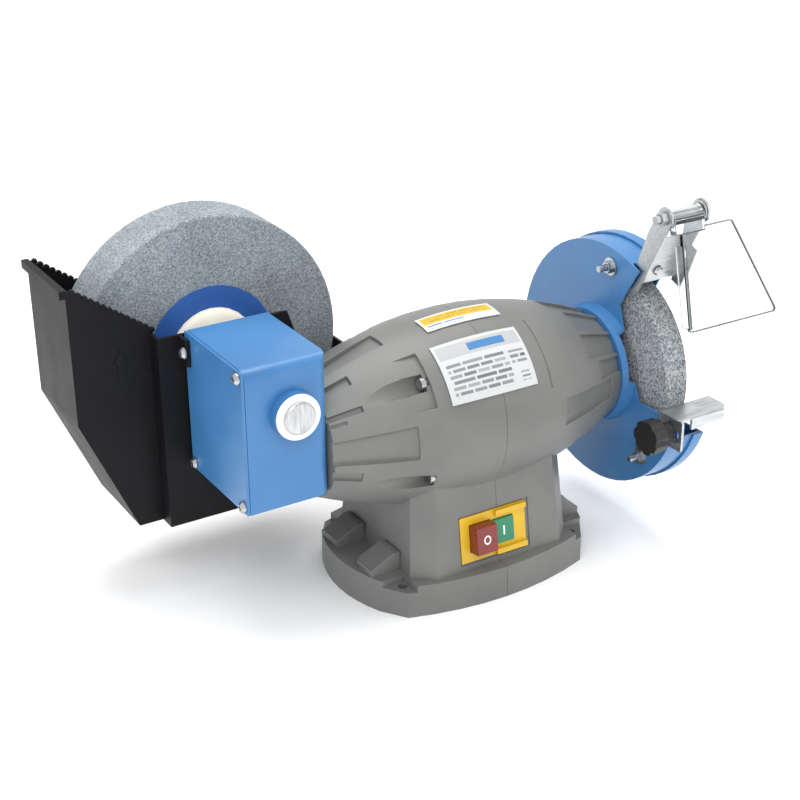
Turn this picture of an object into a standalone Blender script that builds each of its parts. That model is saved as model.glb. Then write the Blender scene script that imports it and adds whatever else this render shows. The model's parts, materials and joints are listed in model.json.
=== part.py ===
"""Wet and dry bench grinder.

A double-ended induction motor sits in a clamshell housing on a pedestal. Its right end drives a small
fast dry wheel. Its left end carries a worm, which drives a large slow wet wheel across the motor's axis.

X runs along the motor to the dry wheel, Y to the back, Z up. The origin is on the bench, under the
middle of the housing. Lengths are in metres.
"""

import math

import bmesh
import bpy
from mathutils import Matrix, Vector

MM = 0.001
GAP = 0.3 * MM  # between faces that touch on the real machine
RUNNING = 0.4 * MM  # round a turning shaft
THREAD_CLEARANCE = 0.3 * MM  # round a screw in its hole

# Base and pedestal
BASE_HALF_LENGTH = 98 * MM
BASE_HALF_WIDTH = 74 * MM
BASE_END_BULGE = 9 * MM  # how far the end arcs swell past the corners
BASE_SIDE_BULGE = 13 * MM
BASE_CORNER = 13 * MM  # cut off each corner along X
BASE_CORNER_DEPTH = 19 * MM  # cut off each corner along Y
BASE_HEIGHT = 25 * MM
PAD_DROP = 5 * MM  # the bolt pads lie lower than the deck
BOLT_HOLE_RADIUS = 3.5 * MM
BOLT_HOLE_INSET = 24 * MM
LUG_LENGTH = 23 * MM
LUG_WIDTH = 22 * MM
LUG_HEIGHT = 14 * MM
LUG_SPACING = 50 * MM
FOOT_HALF_LENGTH = 68 * MM
FOOT_HALF_WIDTH = 64 * MM
NECK_HALF_LENGTH = 63 * MM
NECK_HALF_WIDTH = 54 * MM
NECK_HEIGHT = 97 * MM
PEDESTAL_CORNER = 14 * MM
LEDGE = 5 * MM  # that the plate under the base bears on
PLATE_THICKNESS = 1.5 * MM  # steel sheet that closes the underside
WALL = 4 * MM

# Motor
MOTOR_HEIGHT = 128.5 * MM
BARREL_RADIUS = 69.5 * MM
BARREL_HALF_LENGTH = 121.5 * MM
BARREL_END_RADIUS = 42 * MM
STATOR_RADIUS = 56 * MM
STATOR_HALF_LENGTH = 24 * MM
STATOR_BORE = 31.6 * MM
ROTOR_RADIUS = 31 * MM
WINDING_LENGTH = 15 * MM
BEARING_RADIUS = 17.5 * MM
BEARING_WIDTH = 11 * MM
BEARING_INSET = 12 * MM  # from the end of the barrel to the bearing
SHAFT_RADIUS = 7.5 * MM
HOUSING_SCREW_RADIUS = 2.5 * MM
HOUSING_SCREW_CIRCLE = 60 * MM
HOUSING_SCREW_ANGLES = (44, 136, 204, 336)  # degrees round the motor from +Y
HOUSING_SCREW_HEAD_AT = -56 * MM
HOUSING_SCREW_END = 20 * MM
LABEL_THICKNESS = 0.5 * MM

# Worm drive
WHEEL_TEETH = 22
MODULE = 1.9 * MM
CENTRE_DISTANCE = 41 * MM
ADDENDUM = 1.7 * MM
DEDENDUM = 2.2 * MM
TOOTH_WIDTH = 2.4 * MM  # at the pitch line
FLANK_ANGLE = math.radians(20)
WORM_WHEEL_WIDTH = 12 * MM
WORM_TURNS = 4
WORM_SHAFT_RADIUS = 5.5 * MM
OUTPUT_SHAFT_RADIUS = 9 * MM

# Gearbox
DRIVE_OUT = 27.5 * MM  # from the barrel's end to the wet wheel's axis
DRIVE_X = -BARREL_HALF_LENGTH - DRIVE_OUT
DRIVE_Z = MOTOR_HEIGHT + CENTRE_DISTANCE
GEARBOX_REACH = 36 * MM  # from that axis to the cover and to the top
GEARBOX_DROP = 26 * MM  # from the motor's axis to the gearbox's floor
GEARBOX_LEFT = DRIVE_X - GEARBOX_REACH
GEARBOX_FRONT = -36 * MM
GEARBOX_BACK = 50 * MM
GEARBOX_BOTTOM = MOTOR_HEIGHT - GEARBOX_DROP
GEARBOX_TOP = DRIVE_Z + GEARBOX_REACH
GEARBOX_WALL = 3 * MM
GEARBOX_ROUND = 8 * MM
COVER_THICKNESS = 2 * MM
BOSS_LENGTH = 6 * MM
BOSS_RADIUS = 16.5 * MM
BUSH_RADIUS = 13 * MM
BUSH_FLANGE_RADIUS = 16 * MM
BUSH_FLANGE = 3 * MM
CAP_RADIUS = 11.5 * MM
SCREW_INSET = 5 * MM
SCREW_RADIUS = 2 * MM
SCREW_LENGTH = 9 * MM
SCREW_HEAD_RADIUS = 4.3 * MM
SCREW_HEAD = 3 * MM

# Wet wheel
WET_RADIUS = 100 * MM
WET_WIDTH = 40 * MM
WET_FACE_Y = 87 * MM
WET_FLANGE_RADIUS = 33 * MM
WET_FLANGE = 10 * MM
WET_BACK_FLANGE = 4 * MM
WET_LABEL_RADIUS = 49 * MM

# Water tray
TRAY_WALL = 2.5 * MM
TRAY_FRONT = 69 * MM
TRAY_BACK = 143 * MM
TRAY_PANEL = 55 * MM  # the part of the front wall that stands against the gearbox
TRAY_CLEARANCE = 10 * MM  # beside the wet wheel
TRAY_BOTTOM = DRIVE_Z - WET_RADIUS - 13.5 * MM
TRAY_LEFT_RIM = DRIVE_Z + 73.5 * MM
TRAY_RIM = GEARBOX_TOP - 4.5 * MM
TRAY_RIGHT_RIM = DRIVE_Z - 19.5 * MM
TRAY_SLOPE_TOP = DRIVE_Z - 25.5 * MM
TRAY_SLOPE_RUN = 38 * MM
TRAY_PANEL_LEFT = GEARBOX_LEFT - 18 * MM
TRAY_PANEL_RIGHT = DRIVE_X + 53 * MM
TRAY_LIP = 4 * MM
TRAY_SLOT_HALF = 21 * MM
TRAY_TAB_HEIGHT = 19 * MM
TRAY_TAB_REACH = 12 * MM

# Dry wheel and its guard
DRY_RADIUS = 75 * MM
DRY_WIDTH = 20 * MM
DRY_BORE = 6.35 * MM
DRY_FLANGE_RADIUS = 27 * MM
DRY_FLANGE = 3 * MM
NUT_RADIUS = 10.5 * MM
NUT_THICKNESS = 7 * MM
GUARD_RADIUS = 95 * MM
GUARD_SHEET = 1.5 * MM
GUARD_BOSS_RADIUS = 44 * MM
GUARD_BOSS_DEPTH = 10 * MM
GUARD_SIDE_GAP = 2.4 * MM  # between a wheel face and the guard's sheet
GUARD_BOLT_CIRCLE = 81 * MM
GUARD_BOLT_ANGLES = (98, 224, 340)
GUARD_BOLT_RADIUS = 2.5 * MM
GUARD_LIP = 9 * MM
DOME_RADIUS = 33 * MM

# Tool rest
REST_TOP = MOTOR_HEIGHT - 10.5 * MM
REST_GAP = 3 * MM  # to the wheel
REST_LENGTH = 48 * MM
REST_DEPTH = 23 * MM
REST_SHEET = 2 * MM
REST_LIP = 9 * MM
REST_LEG_HEIGHT = 24 * MM
REST_BOLT_RADIUS = 3 * MM
REST_BOLT_DROP = 12 * MM
REST_SLOT_TRAVEL = 15 * MM
KNOB_RADIUS = 13 * MM
KNOB_LENGTH = 11 * MM
KNOB_STEM = 11 * MM

# Eye shield
PIVOT_Y = -63.5 * MM
PIVOT_Z = MOTOR_HEIGHT + 131.5 * MM
PIVOT_RADIUS = 3 * MM
KNUCKLE_RADIUS = 6 * MM
EAR_RADIUS = 8 * MM
BRACKET_SHEET = 1.2 * MM
BRACKET_LEAN = math.radians(20.5)
BRACKET_WIDTH = 32 * MM
SHIELD_LEAN = math.radians(13)
SHIELD_SHEET = 3 * MM
SHIELD_OFFSET = 4.5 * MM  # from the pivot forward to the sheet
SHIELD_LENGTH = 84 * MM
SHIELD_DROP = 84 * MM  # from the pivot to the lower edge
SHIELD_FLANGE = 9 * MM

# Switch
SWITCH_X = -3 * MM
SWITCH_Z = 48 * MM
SWITCH_LENGTH = 60 * MM
SWITCH_HEIGHT = 38 * MM
SWITCH_MARGIN = 3 * MM
BEZEL_THICKNESS = 3 * MM
BUTTON_WIDTH = 18 * MM
STOP_HEIGHT = 21 * MM
START_HEIGHT = 19 * MM
STOP_PROUD = 9 * MM
START_PROUD = 1.5 * MM
BUTTON_TRAVEL = 3 * MM
SWITCH_DEPTH = 30 * MM
CAPACITOR_RADIUS = 14 * MM
CAPACITOR_LENGTH = 52 * MM
GLAND_RADIUS = 8 * MM

for old in list(bpy.data.objects):
    bpy.data.objects.remove(old)

parts = bpy.data.collections.new("bench_grinder")
tools = bpy.data.collections.new("cutters")
for group in (parts, tools):
    bpy.context.scene.collection.children.link(group)


def paint(name, colour, roughness, metallic=0.0, alpha=1.0):
    """A plain Principled material."""
    made = bpy.data.materials.new(name)
    made.use_nodes = True
    shader = made.node_tree.nodes["Principled BSDF"]
    shader.inputs["Base Color"].default_value = (*colour, 1)
    shader.inputs["Roughness"].default_value = roughness
    shader.inputs["Metallic"].default_value = metallic
    shader.inputs["Alpha"].default_value = alpha
    return made


GREY = paint("grey_paint", (0.23, 0.24, 0.24), 0.45)
BLUE = paint("blue_paint", (0.03, 0.17, 0.52), 0.35)
BLACK = paint("black_plastic", (0.015, 0.015, 0.02), 0.5)
WHITE = paint("white_plastic", (0.8, 0.8, 0.8), 0.4)
CREAM = paint("cream_plastic", (0.75, 0.7, 0.58), 0.5)
YELLOW = paint("yellow_plastic", (0.85, 0.6, 0.02), 0.4)
RED = paint("red_plastic", (0.3, 0.02, 0.02), 0.4)
GREEN = paint("green_plastic", (0.02, 0.25, 0.1), 0.4)
STEEL = paint("bright_steel", (0.6, 0.6, 0.6), 0.3, 1.0)
ZINC = paint("galvanised_sheet", (0.55, 0.56, 0.56), 0.4, 1.0)
IRON = paint("laminated_iron", (0.25, 0.25, 0.26), 0.5, 1.0)
BRONZE = paint("bronze", (0.55, 0.35, 0.12), 0.35, 1.0)
COPPER = paint("enamelled_copper", (0.5, 0.18, 0.08), 0.4, 1.0)
ALUMINIUM = paint("cast_aluminium", (0.6, 0.6, 0.6), 0.4, 1.0)
STONE = paint("grey_stone", (0.22, 0.25, 0.28), 0.95)
CLEAR = paint("clear_plastic", (0.95, 0.95, 0.95), 0.05, 0.0, 0.3)
PAPER = paint("label_paper", (0.7, 0.7, 0.7), 0.5)

# Local Z along each axis, for turned pieces and rods
TURN = {"X": Matrix.Rotation(math.pi / 2, 4, "Y"), "Y": Matrix.Rotation(-math.pi / 2, 4, "X"),
        "Z": Matrix.Identity(4)}
# Local XY laid in the plane across each axis: Y and Z across X, X and Z across Y
LAY = {"X": Matrix(((0, 0, 1, 0), (1, 0, 0, 0), (0, 1, 0, 0), (0, 0, 0, 1))),
       "Y": Matrix.Rotation(math.pi / 2, 4, "X"), "Z": Matrix.Identity(4)}


def place(name, mesh, matrix, material=None):
    """An object in the parts collection, or in the cutters' if it has no material."""
    obj = bpy.data.objects.new(name, mesh)
    obj.matrix_world = matrix
    if material:
        parts.objects.link(obj)
        mesh.materials.append(material)
    else:
        tools.objects.link(obj)
        obj.hide_render = True
        obj.display_type = "WIRE"
    return obj


def smooth(obj, angle=35):
    obj.data.shade_smooth()
    obj.data.set_sharp_from_angle(angle=math.radians(angle))


def turned(name, profile, material=None, axis="X", at=(0, 0, 0), segments=28, closed=False):
    """A profile of (radius, height) points, turned about the axis through at."""
    area = sum(a[0] * b[1] - b[0] * a[1] for a, b in zip(profile, profile[1:] + profile[:1]))
    if area > 0:
        profile = profile[::-1]
    mesh = bpy.data.meshes.new(name)
    count = len(profile)
    edges = [(i, (i + 1) % count) for i in range(count if closed else count - 1)]
    mesh.from_pydata([(r, 0, h) for r, h in profile], edges, [])
    obj = place(name, mesh, Matrix.Translation(at) @ TURN[axis], material)
    screw = obj.modifiers.new("turn", "SCREW")
    screw.steps = screw.render_steps = segments
    screw.use_merge_vertices = True
    screw.merge_threshold = 0.00001
    screw.use_smooth_shade = False
    return obj


def rod(name, radius, low, high, material=None, axis="X", at=(0, 0, 0), sides=32):
    """A cylinder along the axis through at, from low to high."""
    bm = bmesh.new()
    bmesh.ops.create_cone(bm, cap_ends=True, segments=sides, radius1=radius, radius2=radius,
                          depth=high - low)
    bmesh.ops.translate(bm, verts=bm.verts, vec=(0, 0, (low + high) / 2))
    mesh = bpy.data.meshes.new(name)
    bm.to_mesh(mesh)
    bm.free()
    return place(name, mesh, Matrix.Translation(at) @ TURN[axis], material)


def box(name, low, high, material=None, frame=None):
    """A box between two corners, in the frame if one is given."""
    bm = bmesh.new()
    bmesh.ops.create_cube(bm, size=1)
    size = Vector(high) - Vector(low)
    bmesh.ops.scale(bm, verts=bm.verts, vec=size)
    bmesh.ops.translate(bm, verts=bm.verts, vec=(Vector(high) + Vector(low)) / 2)
    mesh = bpy.data.meshes.new(name)
    bm.to_mesh(mesh)
    bm.free()
    return place(name, mesh, frame or Matrix.Identity(4), material)


def baked(obj):
    """Replaces the object's mesh by its evaluated mesh, and clears its modifiers."""
    graph = bpy.context.evaluated_depsgraph_get()
    mesh = bpy.data.meshes.new_from_object(obj.evaluated_get(graph))
    obj.modifiers.clear()
    obj.data = mesh
    return obj


def plate(name, outline, low, high, material=None, axis="X", frame=None):
    """A flat outline across the axis, from low to high along it."""
    curve = bpy.data.curves.new(name, "CURVE")
    curve.dimensions = "2D"
    curve.fill_mode = "BOTH"
    curve.extrude = abs(high - low) / 2
    spline = curve.splines.new("POLY")
    spline.points.add(len(outline) - 1)
    for point, (u, v) in zip(spline.points, outline):
        point.co = (u, v, 0, 1)
    spline.use_cyclic_u = True
    middle = (low + high) / 2
    shift = {"X": (middle, 0, 0), "Y": (0, middle, 0), "Z": (0, 0, middle)}[axis]
    drawn = bpy.data.objects.new(name, curve)
    tools.objects.link(drawn)
    graph = bpy.context.evaluated_depsgraph_get()
    mesh = bpy.data.meshes.new_from_object(drawn.evaluated_get(graph))
    bpy.data.objects.remove(drawn)
    bm = bmesh.new()
    bm.from_mesh(mesh)
    bmesh.ops.remove_doubles(bm, verts=bm.verts, dist=0.00001)
    bmesh.ops.recalc_face_normals(bm, faces=bm.faces)
    bm.to_mesh(mesh)
    bm.free()
    matrix = (frame or Matrix.Identity(4)) @ Matrix.Translation(shift) @ LAY[axis]
    return place(name, mesh, matrix, material)


def boolean(obj, other, operation):
    step = obj.modifiers.new(operation.lower(), "BOOLEAN")
    step.operation = operation
    step.object = other
    return obj


def cut(obj, *others):
    for other in others:
        boolean(obj, other, "DIFFERENCE")
    return obj


def join(obj, *others):
    for other in others:
        boolean(obj, other, "UNION")
    return obj


def round_edges(obj, radius, segments, chosen):
    """Rounds the edges whose middle passes the test."""
    bm = bmesh.new()
    bm.from_mesh(obj.data)
    edges = [e for e in bm.edges if chosen(*((e.verts[0].co + e.verts[1].co) / 2))]
    bmesh.ops.bevel(bm, geom=edges, offset=radius, segments=segments, profile=0.5, affect="EDGES")
    bm.to_mesh(obj.data)
    bm.free()


def rounded(points, radius, steps=4):
    """An outline with its corners turned into arcs."""
    out = []
    count = len(points)
    for i, corner in enumerate(points):
        here = Vector(corner)
        before = (Vector(points[i - 1]) - here).normalized()
        after = (Vector(points[(i + 1) % count]) - here).normalized()
        half = before.angle(after) / 2
        start = here + before * radius / math.tan(half)
        centre = here + (before + after).normalized() * radius / math.sin(half)
        sweep = math.pi - 2 * half
        turn = math.copysign(sweep, (start - centre).cross(here - centre))
        for k in range(steps + 1):
            spoke = (start - centre)
            spoke.rotate(Matrix.Rotation(turn * k / steps, 2))
            out.append(tuple(centre + spoke))
    return out


def circle(centre, radius, start=0, stop=360, steps=12):
    """Points along an arc, in degrees."""
    angles = [math.radians(start + (stop - start) * k / steps) for k in range(steps + 1)]
    if stop - start == 360:
        angles.pop()
    return [(centre[0] + radius * math.cos(a), centre[1] + radius * math.sin(a)) for a in angles]


def axis_empty(name, at):
    """An empty on a joint's axis, which carries the pieces that move with it."""
    empty = bpy.data.objects.new(name, None)
    empty.empty_display_size = 0.02
    empty.location = at
    parts.objects.link(empty)
    bpy.context.view_layer.update()
    return empty


def carry(empty, *pieces):
    for piece in pieces:
        piece.parent = empty
        piece.matrix_parent_inverse = empty.matrix_world.inverted()


# ---------------------------------------------------------------- base, pedestal and motor housing

MOTOR = (0, 0, MOTOR_HEIGHT)
barrel_bow = (BARREL_RADIUS - BARREL_END_RADIUS) / BARREL_HALF_LENGTH**2


def barrel_radius(x):
    """The barrel's outer radius at x: a shallow bow from end to end."""
    return BARREL_RADIUS - barrel_bow * x * x


def base_outline(inset=0):
    """The base seen from above: four shallow arcs and four cut corners."""
    corner_x = BASE_HALF_LENGTH - BASE_END_BULGE - BASE_CORNER
    corner_y = BASE_HALF_WIDTH - BASE_SIDE_BULGE
    end_x = BASE_HALF_LENGTH - BASE_END_BULGE
    end_y = corner_y - BASE_CORNER_DEPTH
    steps = 8
    side = [(corner_x * (1 - 2 * k / steps), corner_y + BASE_SIDE_BULGE * (1 - (1 - 2 * k / steps) ** 2))
            for k in range(steps + 1)]
    end = [(-end_x - BASE_END_BULGE * (1 - (1 - 2 * k / steps) ** 2), end_y * (1 - 2 * k / steps))
           for k in range(steps + 1)]
    half = side + end
    outline = half + [(-x, -y) for x, y in half]
    shrink_x = 1 - inset / BASE_HALF_LENGTH
    shrink_y = 1 - inset / BASE_HALF_WIDTH
    return [(x * shrink_x, y * shrink_y) for x, y in outline]


def tapered(name, half_length, half_width, low, top_half_length, top_half_width, high, corner):
    """An upright block with cut corners that narrows from low to high."""
    bm = bmesh.new()
    ring = [(sx * (half_length - dx), sy * (half_width - dy))
            for sx, sy, order in ((1, 1, 1), (-1, 1, -1), (-1, -1, 1), (1, -1, -1))
            for dx, dy in ((0, corner), (corner, 0))[::order]]
    foot = bm.faces.new([bm.verts.new((x, y, low)) for x, y in ring])
    top = bmesh.ops.extrude_face_region(bm, geom=[foot])["geom"]
    top = [v for v in top if isinstance(v, bmesh.types.BMVert)]
    bmesh.ops.translate(bm, verts=top, vec=(0, 0, high - low))
    bmesh.ops.scale(bm, verts=top, vec=(top_half_length / half_length, top_half_width / half_width, 1))
    bmesh.ops.recalc_face_normals(bm, faces=bm.faces)
    mesh = bpy.data.meshes.new(name)
    bm.to_mesh(mesh)
    bm.free()
    return place(name, mesh, Matrix.Identity(4))


def screw_centre(angle, circle_radius):
    """A point round the motor axis, at an angle from +Y."""
    a = math.radians(angle)
    return (0, circle_radius * math.cos(a), MOTOR_HEIGHT + circle_radius * math.sin(a))


FRONT_LEAN = math.atan2(FOOT_HALF_WIDTH - NECK_HALF_WIDTH, NECK_HEIGHT - BASE_HEIGHT)
SWITCH_FACE_Y = -(FOOT_HALF_WIDTH - (SWITCH_Z - BASE_HEIGHT) * math.tan(FRONT_LEAN))
SWITCH = Matrix.Translation((SWITCH_X, SWITCH_FACE_Y, SWITCH_Z)) @ Matrix.Rotation(-FRONT_LEAN, 4, "X")
BEARING_AT = BARREL_HALF_LENGTH - BEARING_INSET  # the bearing's outer face
GLAND_AT = (34 * MM, FOOT_HALF_WIDTH - 4 * MM, 42 * MM)


def bezel_edges():
    """The switch frame's left edge, right edge and half height."""
    return MM - SWITCH_LENGTH / 2, SWITCH_LENGTH / 2 - SWITCH_MARGIN, SWITCH_HEIGHT / 2 - SWITCH_MARGIN / 2


def housing_cavity():
    """The room inside the barrel: a bore for the stator and its windings, and seats for the bearings."""
    coil_end = STATOR_HALF_LENGTH + WINDING_LENGTH + 6 * MM
    bearing_inner = BEARING_AT - BEARING_WIDTH - GAP
    half = [(STATOR_RADIUS + GAP, 0), (STATOR_RADIUS + GAP, coil_end),
            (44 * MM, coil_end + 8 * MM), (32 * MM, bearing_inner),
            (BEARING_RADIUS + GAP, bearing_inner), (BEARING_RADIUS + GAP, BEARING_AT + GAP),
            (SHAFT_RADIUS + 2 * RUNNING, BEARING_AT + GAP),
            (SHAFT_RADIUS + 2 * RUNNING, BARREL_HALF_LENGTH + 5 * MM)]
    profile = [(r, -x) for r, x in half[:0:-1]] + half[1:]
    axle = [(0, BARREL_HALF_LENGTH + 5 * MM)]
    return turned("housing_cavity", [(0, -BARREL_HALF_LENGTH - 5 * MM)] + profile + axle, at=MOTOR, segments=40)


def make_housing():
    """Barrel, pedestal and base in one shell, then split across the middle into two halves."""
    steps = 12
    bow = [(barrel_radius(x), x) for x in
           [BARREL_HALF_LENGTH * (2 * k / steps - 1) for k in range(steps + 1)]]
    profile = [(0, -BARREL_HALF_LENGTH)] + bow + [(0, BARREL_HALF_LENGTH)]
    shell = turned("housing_shell", profile, at=MOTOR, segments=48)

    pedestal = tapered("pedestal", FOOT_HALF_LENGTH, FOOT_HALF_WIDTH, BASE_HEIGHT - 2 * MM,
                       NECK_HALF_LENGTH, NECK_HALF_WIDTH, NECK_HEIGHT, PEDESTAL_CORNER)
    base = plate("base", base_outline(), 0, BASE_HEIGHT, axis="Z")
    join(shell, pedestal, base)

    lug_left = BASE_HALF_LENGTH - 7 * MM
    for side in (-1, 1):
        for end in (-1, 1):
            x = sorted((side * lug_left, side * (lug_left - LUG_LENGTH)))
            y = end * LUG_SPACING / 2
            join(shell, box("lug", (x[0], y - LUG_WIDTH / 2, BASE_HEIGHT - 2 * MM),
                            (x[1], y + LUG_WIDTH / 2, BASE_HEIGHT + LUG_HEIGHT)))

    inner_top = MOTOR_HEIGHT - STATOR_RADIUS - GAP - WALL
    cut(shell, housing_cavity())
    cut(shell, tapered("pedestal_cavity", FOOT_HALF_LENGTH - WALL, FOOT_HALF_WIDTH - WALL, -MM,
                       NECK_HALF_LENGTH - WALL, NECK_HALF_WIDTH - WALL, inner_top, PEDESTAL_CORNER))
    cut(shell, plate("base_cavity", base_outline(WALL + LEDGE), -2 * MM, BASE_HEIGHT - PAD_DROP - WALL,
                     axis="Z"))
    cut(shell, plate("plate_recess", base_outline(WALL), -MM, PLATE_THICKNESS + GAP, axis="Z"))

    for side in (-1, 1):
        for end in (-1, 1):
            x = side * (BASE_HALF_LENGTH - BOLT_HOLE_INSET)
            y = end * (BASE_HALF_WIDTH - BOLT_HOLE_INSET)
            outer = (x + side * 40 * MM, y + end * 40 * MM, BASE_HEIGHT + 5 * MM)
            inner = (x - side * 4.5 * MM, y - end * 6 * MM, BASE_HEIGHT - PAD_DROP)
            low = [min(a, b) for a, b in zip(inner, outer)]
            high = [max(a, b) for a, b in zip(inner, outer)]
            cut(shell, box("pad_cut", low, high))
            cut(shell, rod("bolt_hole", BOLT_HOLE_RADIUS, -MM, BASE_HEIGHT + 9 * MM, axis="Z", at=(x, y, 0),
                           sides=16))

    half_x, half_z = SWITCH_LENGTH / 2, SWITCH_HEIGHT / 2
    low_x, high_x, high_z = bezel_edges()
    cut(shell, box("switch_recess", (-half_x, -12 * MM, -half_z), (half_x, 1.2 * MM, half_z), frame=SWITCH),
        box("switch_opening", (low_x - GAP, -12 * MM, -high_z - GAP), (high_x + GAP, 20 * MM, high_z + GAP),
            frame=SWITCH))
    cut(shell, rod("gland_hole", GLAND_RADIUS + GAP, -20 * MM, 20 * MM, axis="Y", at=GLAND_AT))
    cut(shell, rod("wire_hole", 5 * MM, 0, 40 * MM, axis="Z", at=(36 * MM, 0, inner_top - 5 * MM),
                   sides=16))
    for angle in HOUSING_SCREW_ANGLES:
        at = screw_centre(angle, HOUSING_SCREW_CIRCLE)
        hole = HOUSING_SCREW_RADIUS + THREAD_CLEARANCE
        cut(shell, rod("screw_hole", hole, HOUSING_SCREW_HEAD_AT, HOUSING_SCREW_END + MM, at=at,
                       sides=12))
        cut(shell, rod("screw_pocket", hole + 3.7 * MM, -120 * MM, HOUSING_SCREW_HEAD_AT + 3.8 * MM,
                       at=at, sides=16))

    baked(shell)
    reach = 200 * MM
    for name, side in (("housing_left", -1), ("housing_right", 1)):
        half_shell = place(name, shell.data.copy(), shell.matrix_world, GREY)
        x = sorted((-side * reach, side * GAP / 2))
        cut(half_shell, box("split", (x[0], -reach, -reach), (x[1], reach, 2 * reach)))
        smooth(half_shell)


def make_base_plate():
    sheet = plate("base_plate", base_outline(WALL + GAP), 0, PLATE_THICKNESS, ZINC, axis="Z")
    for side in (-1, 1):
        for end in (-1, 1):
            x = side * (BASE_HALF_LENGTH - BOLT_HOLE_INSET)
            y = end * (BASE_HALF_WIDTH - BOLT_HOLE_INSET)
            cut(sheet, rod("plate_hole", BOLT_HOLE_RADIUS + GAP, -MM, 9 * MM, axis="Z", at=(x, y, 0),
                           sides=16))


def curved_label(name, x_low, x_high, start, stop):
    """A label wrapped on the barrel, between two angles forward of straight up."""
    bm = bmesh.new()
    across, around = 6, 8
    grid = []
    for i in range(across + 1):
        x = x_low + (x_high - x_low) * i / across
        radius = barrel_radius(x) / math.cos(math.pi / 48) + GAP
        row = []
        for j in range(around + 1):
            angle = math.radians(start + (stop - start) * j / around)
            row.append(bm.verts.new((x, -radius * math.sin(angle), radius * math.cos(angle))))
        grid.append(row)
    for low, high in zip(grid, grid[1:]):
        for j in range(around):
            bm.faces.new((low[j], low[j + 1], high[j + 1], high[j]))
    bmesh.ops.recalc_face_normals(bm, faces=bm.faces)
    mesh = bpy.data.meshes.new(name)
    bm.to_mesh(mesh)
    bm.free()
    label = place(name, mesh, Matrix.Translation(MOTOR), PAPER)
    middle = Vector(mesh.polygons[0].normal)
    solid = label.modifiers.new("thickness", "SOLIDIFY")
    solid.thickness = LABEL_THICKNESS
    solid.offset = 1 if middle.dot(mesh.polygons[0].center) > 0 else -1
    return label


def make_motor():
    stator = turned("stator_core", [(STATOR_BORE, -STATOR_HALF_LENGTH), (STATOR_RADIUS, -STATOR_HALF_LENGTH),
                                    (STATOR_RADIUS, STATOR_HALF_LENGTH), (STATOR_BORE, STATOR_HALF_LENGTH)],
                    IRON, at=MOTOR, closed=True)
    smooth(stator)
    for name, side in (("winding_left", -1), ("winding_right", 1)):
        near = side * (STATOR_HALF_LENGTH + GAP)
        far = side * (STATOR_HALF_LENGTH + WINDING_LENGTH)
        soft = far - side * 4 * MM
        turned(name, [(STATOR_BORE + 3 * MM, near), (STATOR_RADIUS - 4 * MM, near),
                      (STATOR_RADIUS - 4 * MM, soft), (STATOR_RADIUS - 8 * MM, far),
                      (STATOR_BORE + 6 * MM, far), (STATOR_BORE + 3 * MM, soft)],
               COPPER, at=MOTOR, closed=True, segments=32)
    for name, side in (("bearing_left", -1), ("bearing_right", 1)):
        outer = side * BEARING_AT
        inner = side * (BEARING_AT - BEARING_WIDTH)
        turned(name, [(SHAFT_RADIUS + GAP, outer), (BEARING_RADIUS, outer), (BEARING_RADIUS, inner),
                      (SHAFT_RADIUS + GAP, inner)], STEEL, at=MOTOR, closed=True, segments=32)
    for i, angle in enumerate(HOUSING_SCREW_ANGLES, 1):
        screw = turned(f"housing_screw_{i}",
                       [(0, HOUSING_SCREW_HEAD_AT), (HOUSING_SCREW_RADIUS + 1.8 * MM, HOUSING_SCREW_HEAD_AT),
                        (HOUSING_SCREW_RADIUS + 1.8 * MM, HOUSING_SCREW_HEAD_AT + 3.5 * MM),
                        (HOUSING_SCREW_RADIUS, HOUSING_SCREW_HEAD_AT + 3.5 * MM),
                        (HOUSING_SCREW_RADIUS, HOUSING_SCREW_END), (0, HOUSING_SCREW_END)],
                       STEEL, at=screw_centre(angle, HOUSING_SCREW_CIRCLE), segments=12)
        smooth(screw)
    curved_label("nameplate", -40 * MM, 30 * MM, 27, 65)
    curved_label("warning_label", -33 * MM, 28 * MM, 0, 15)


# ---------------------------------------------------------------- rotor and dry wheel

GUARD_PLATE_X = BARREL_HALF_LENGTH + GAP + GUARD_BOSS_DEPTH  # left face of the guard's inner sheet
DRY_FLANGE_X = GUARD_PLATE_X + GUARD_SHEET + MM
DRY_X = DRY_FLANGE_X + DRY_FLANGE + GAP  # left face of the dry wheel
DRY_OUTER_X = DRY_X + DRY_WIDTH
OUTER_FLANGE_X = DRY_OUTER_X + GAP
NUT_X = OUTER_FLANGE_X + DRY_FLANGE + GAP
SHAFT_END = NUT_X + NUT_THICKNESS + 2 * MM
WORM_PITCH = math.pi * MODULE
WORM_PITCH_RADIUS = CENTRE_DISTANCE - WHEEL_TEETH * MODULE / 2
WORM_LENGTH = WORM_TURNS * WORM_PITCH


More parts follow.
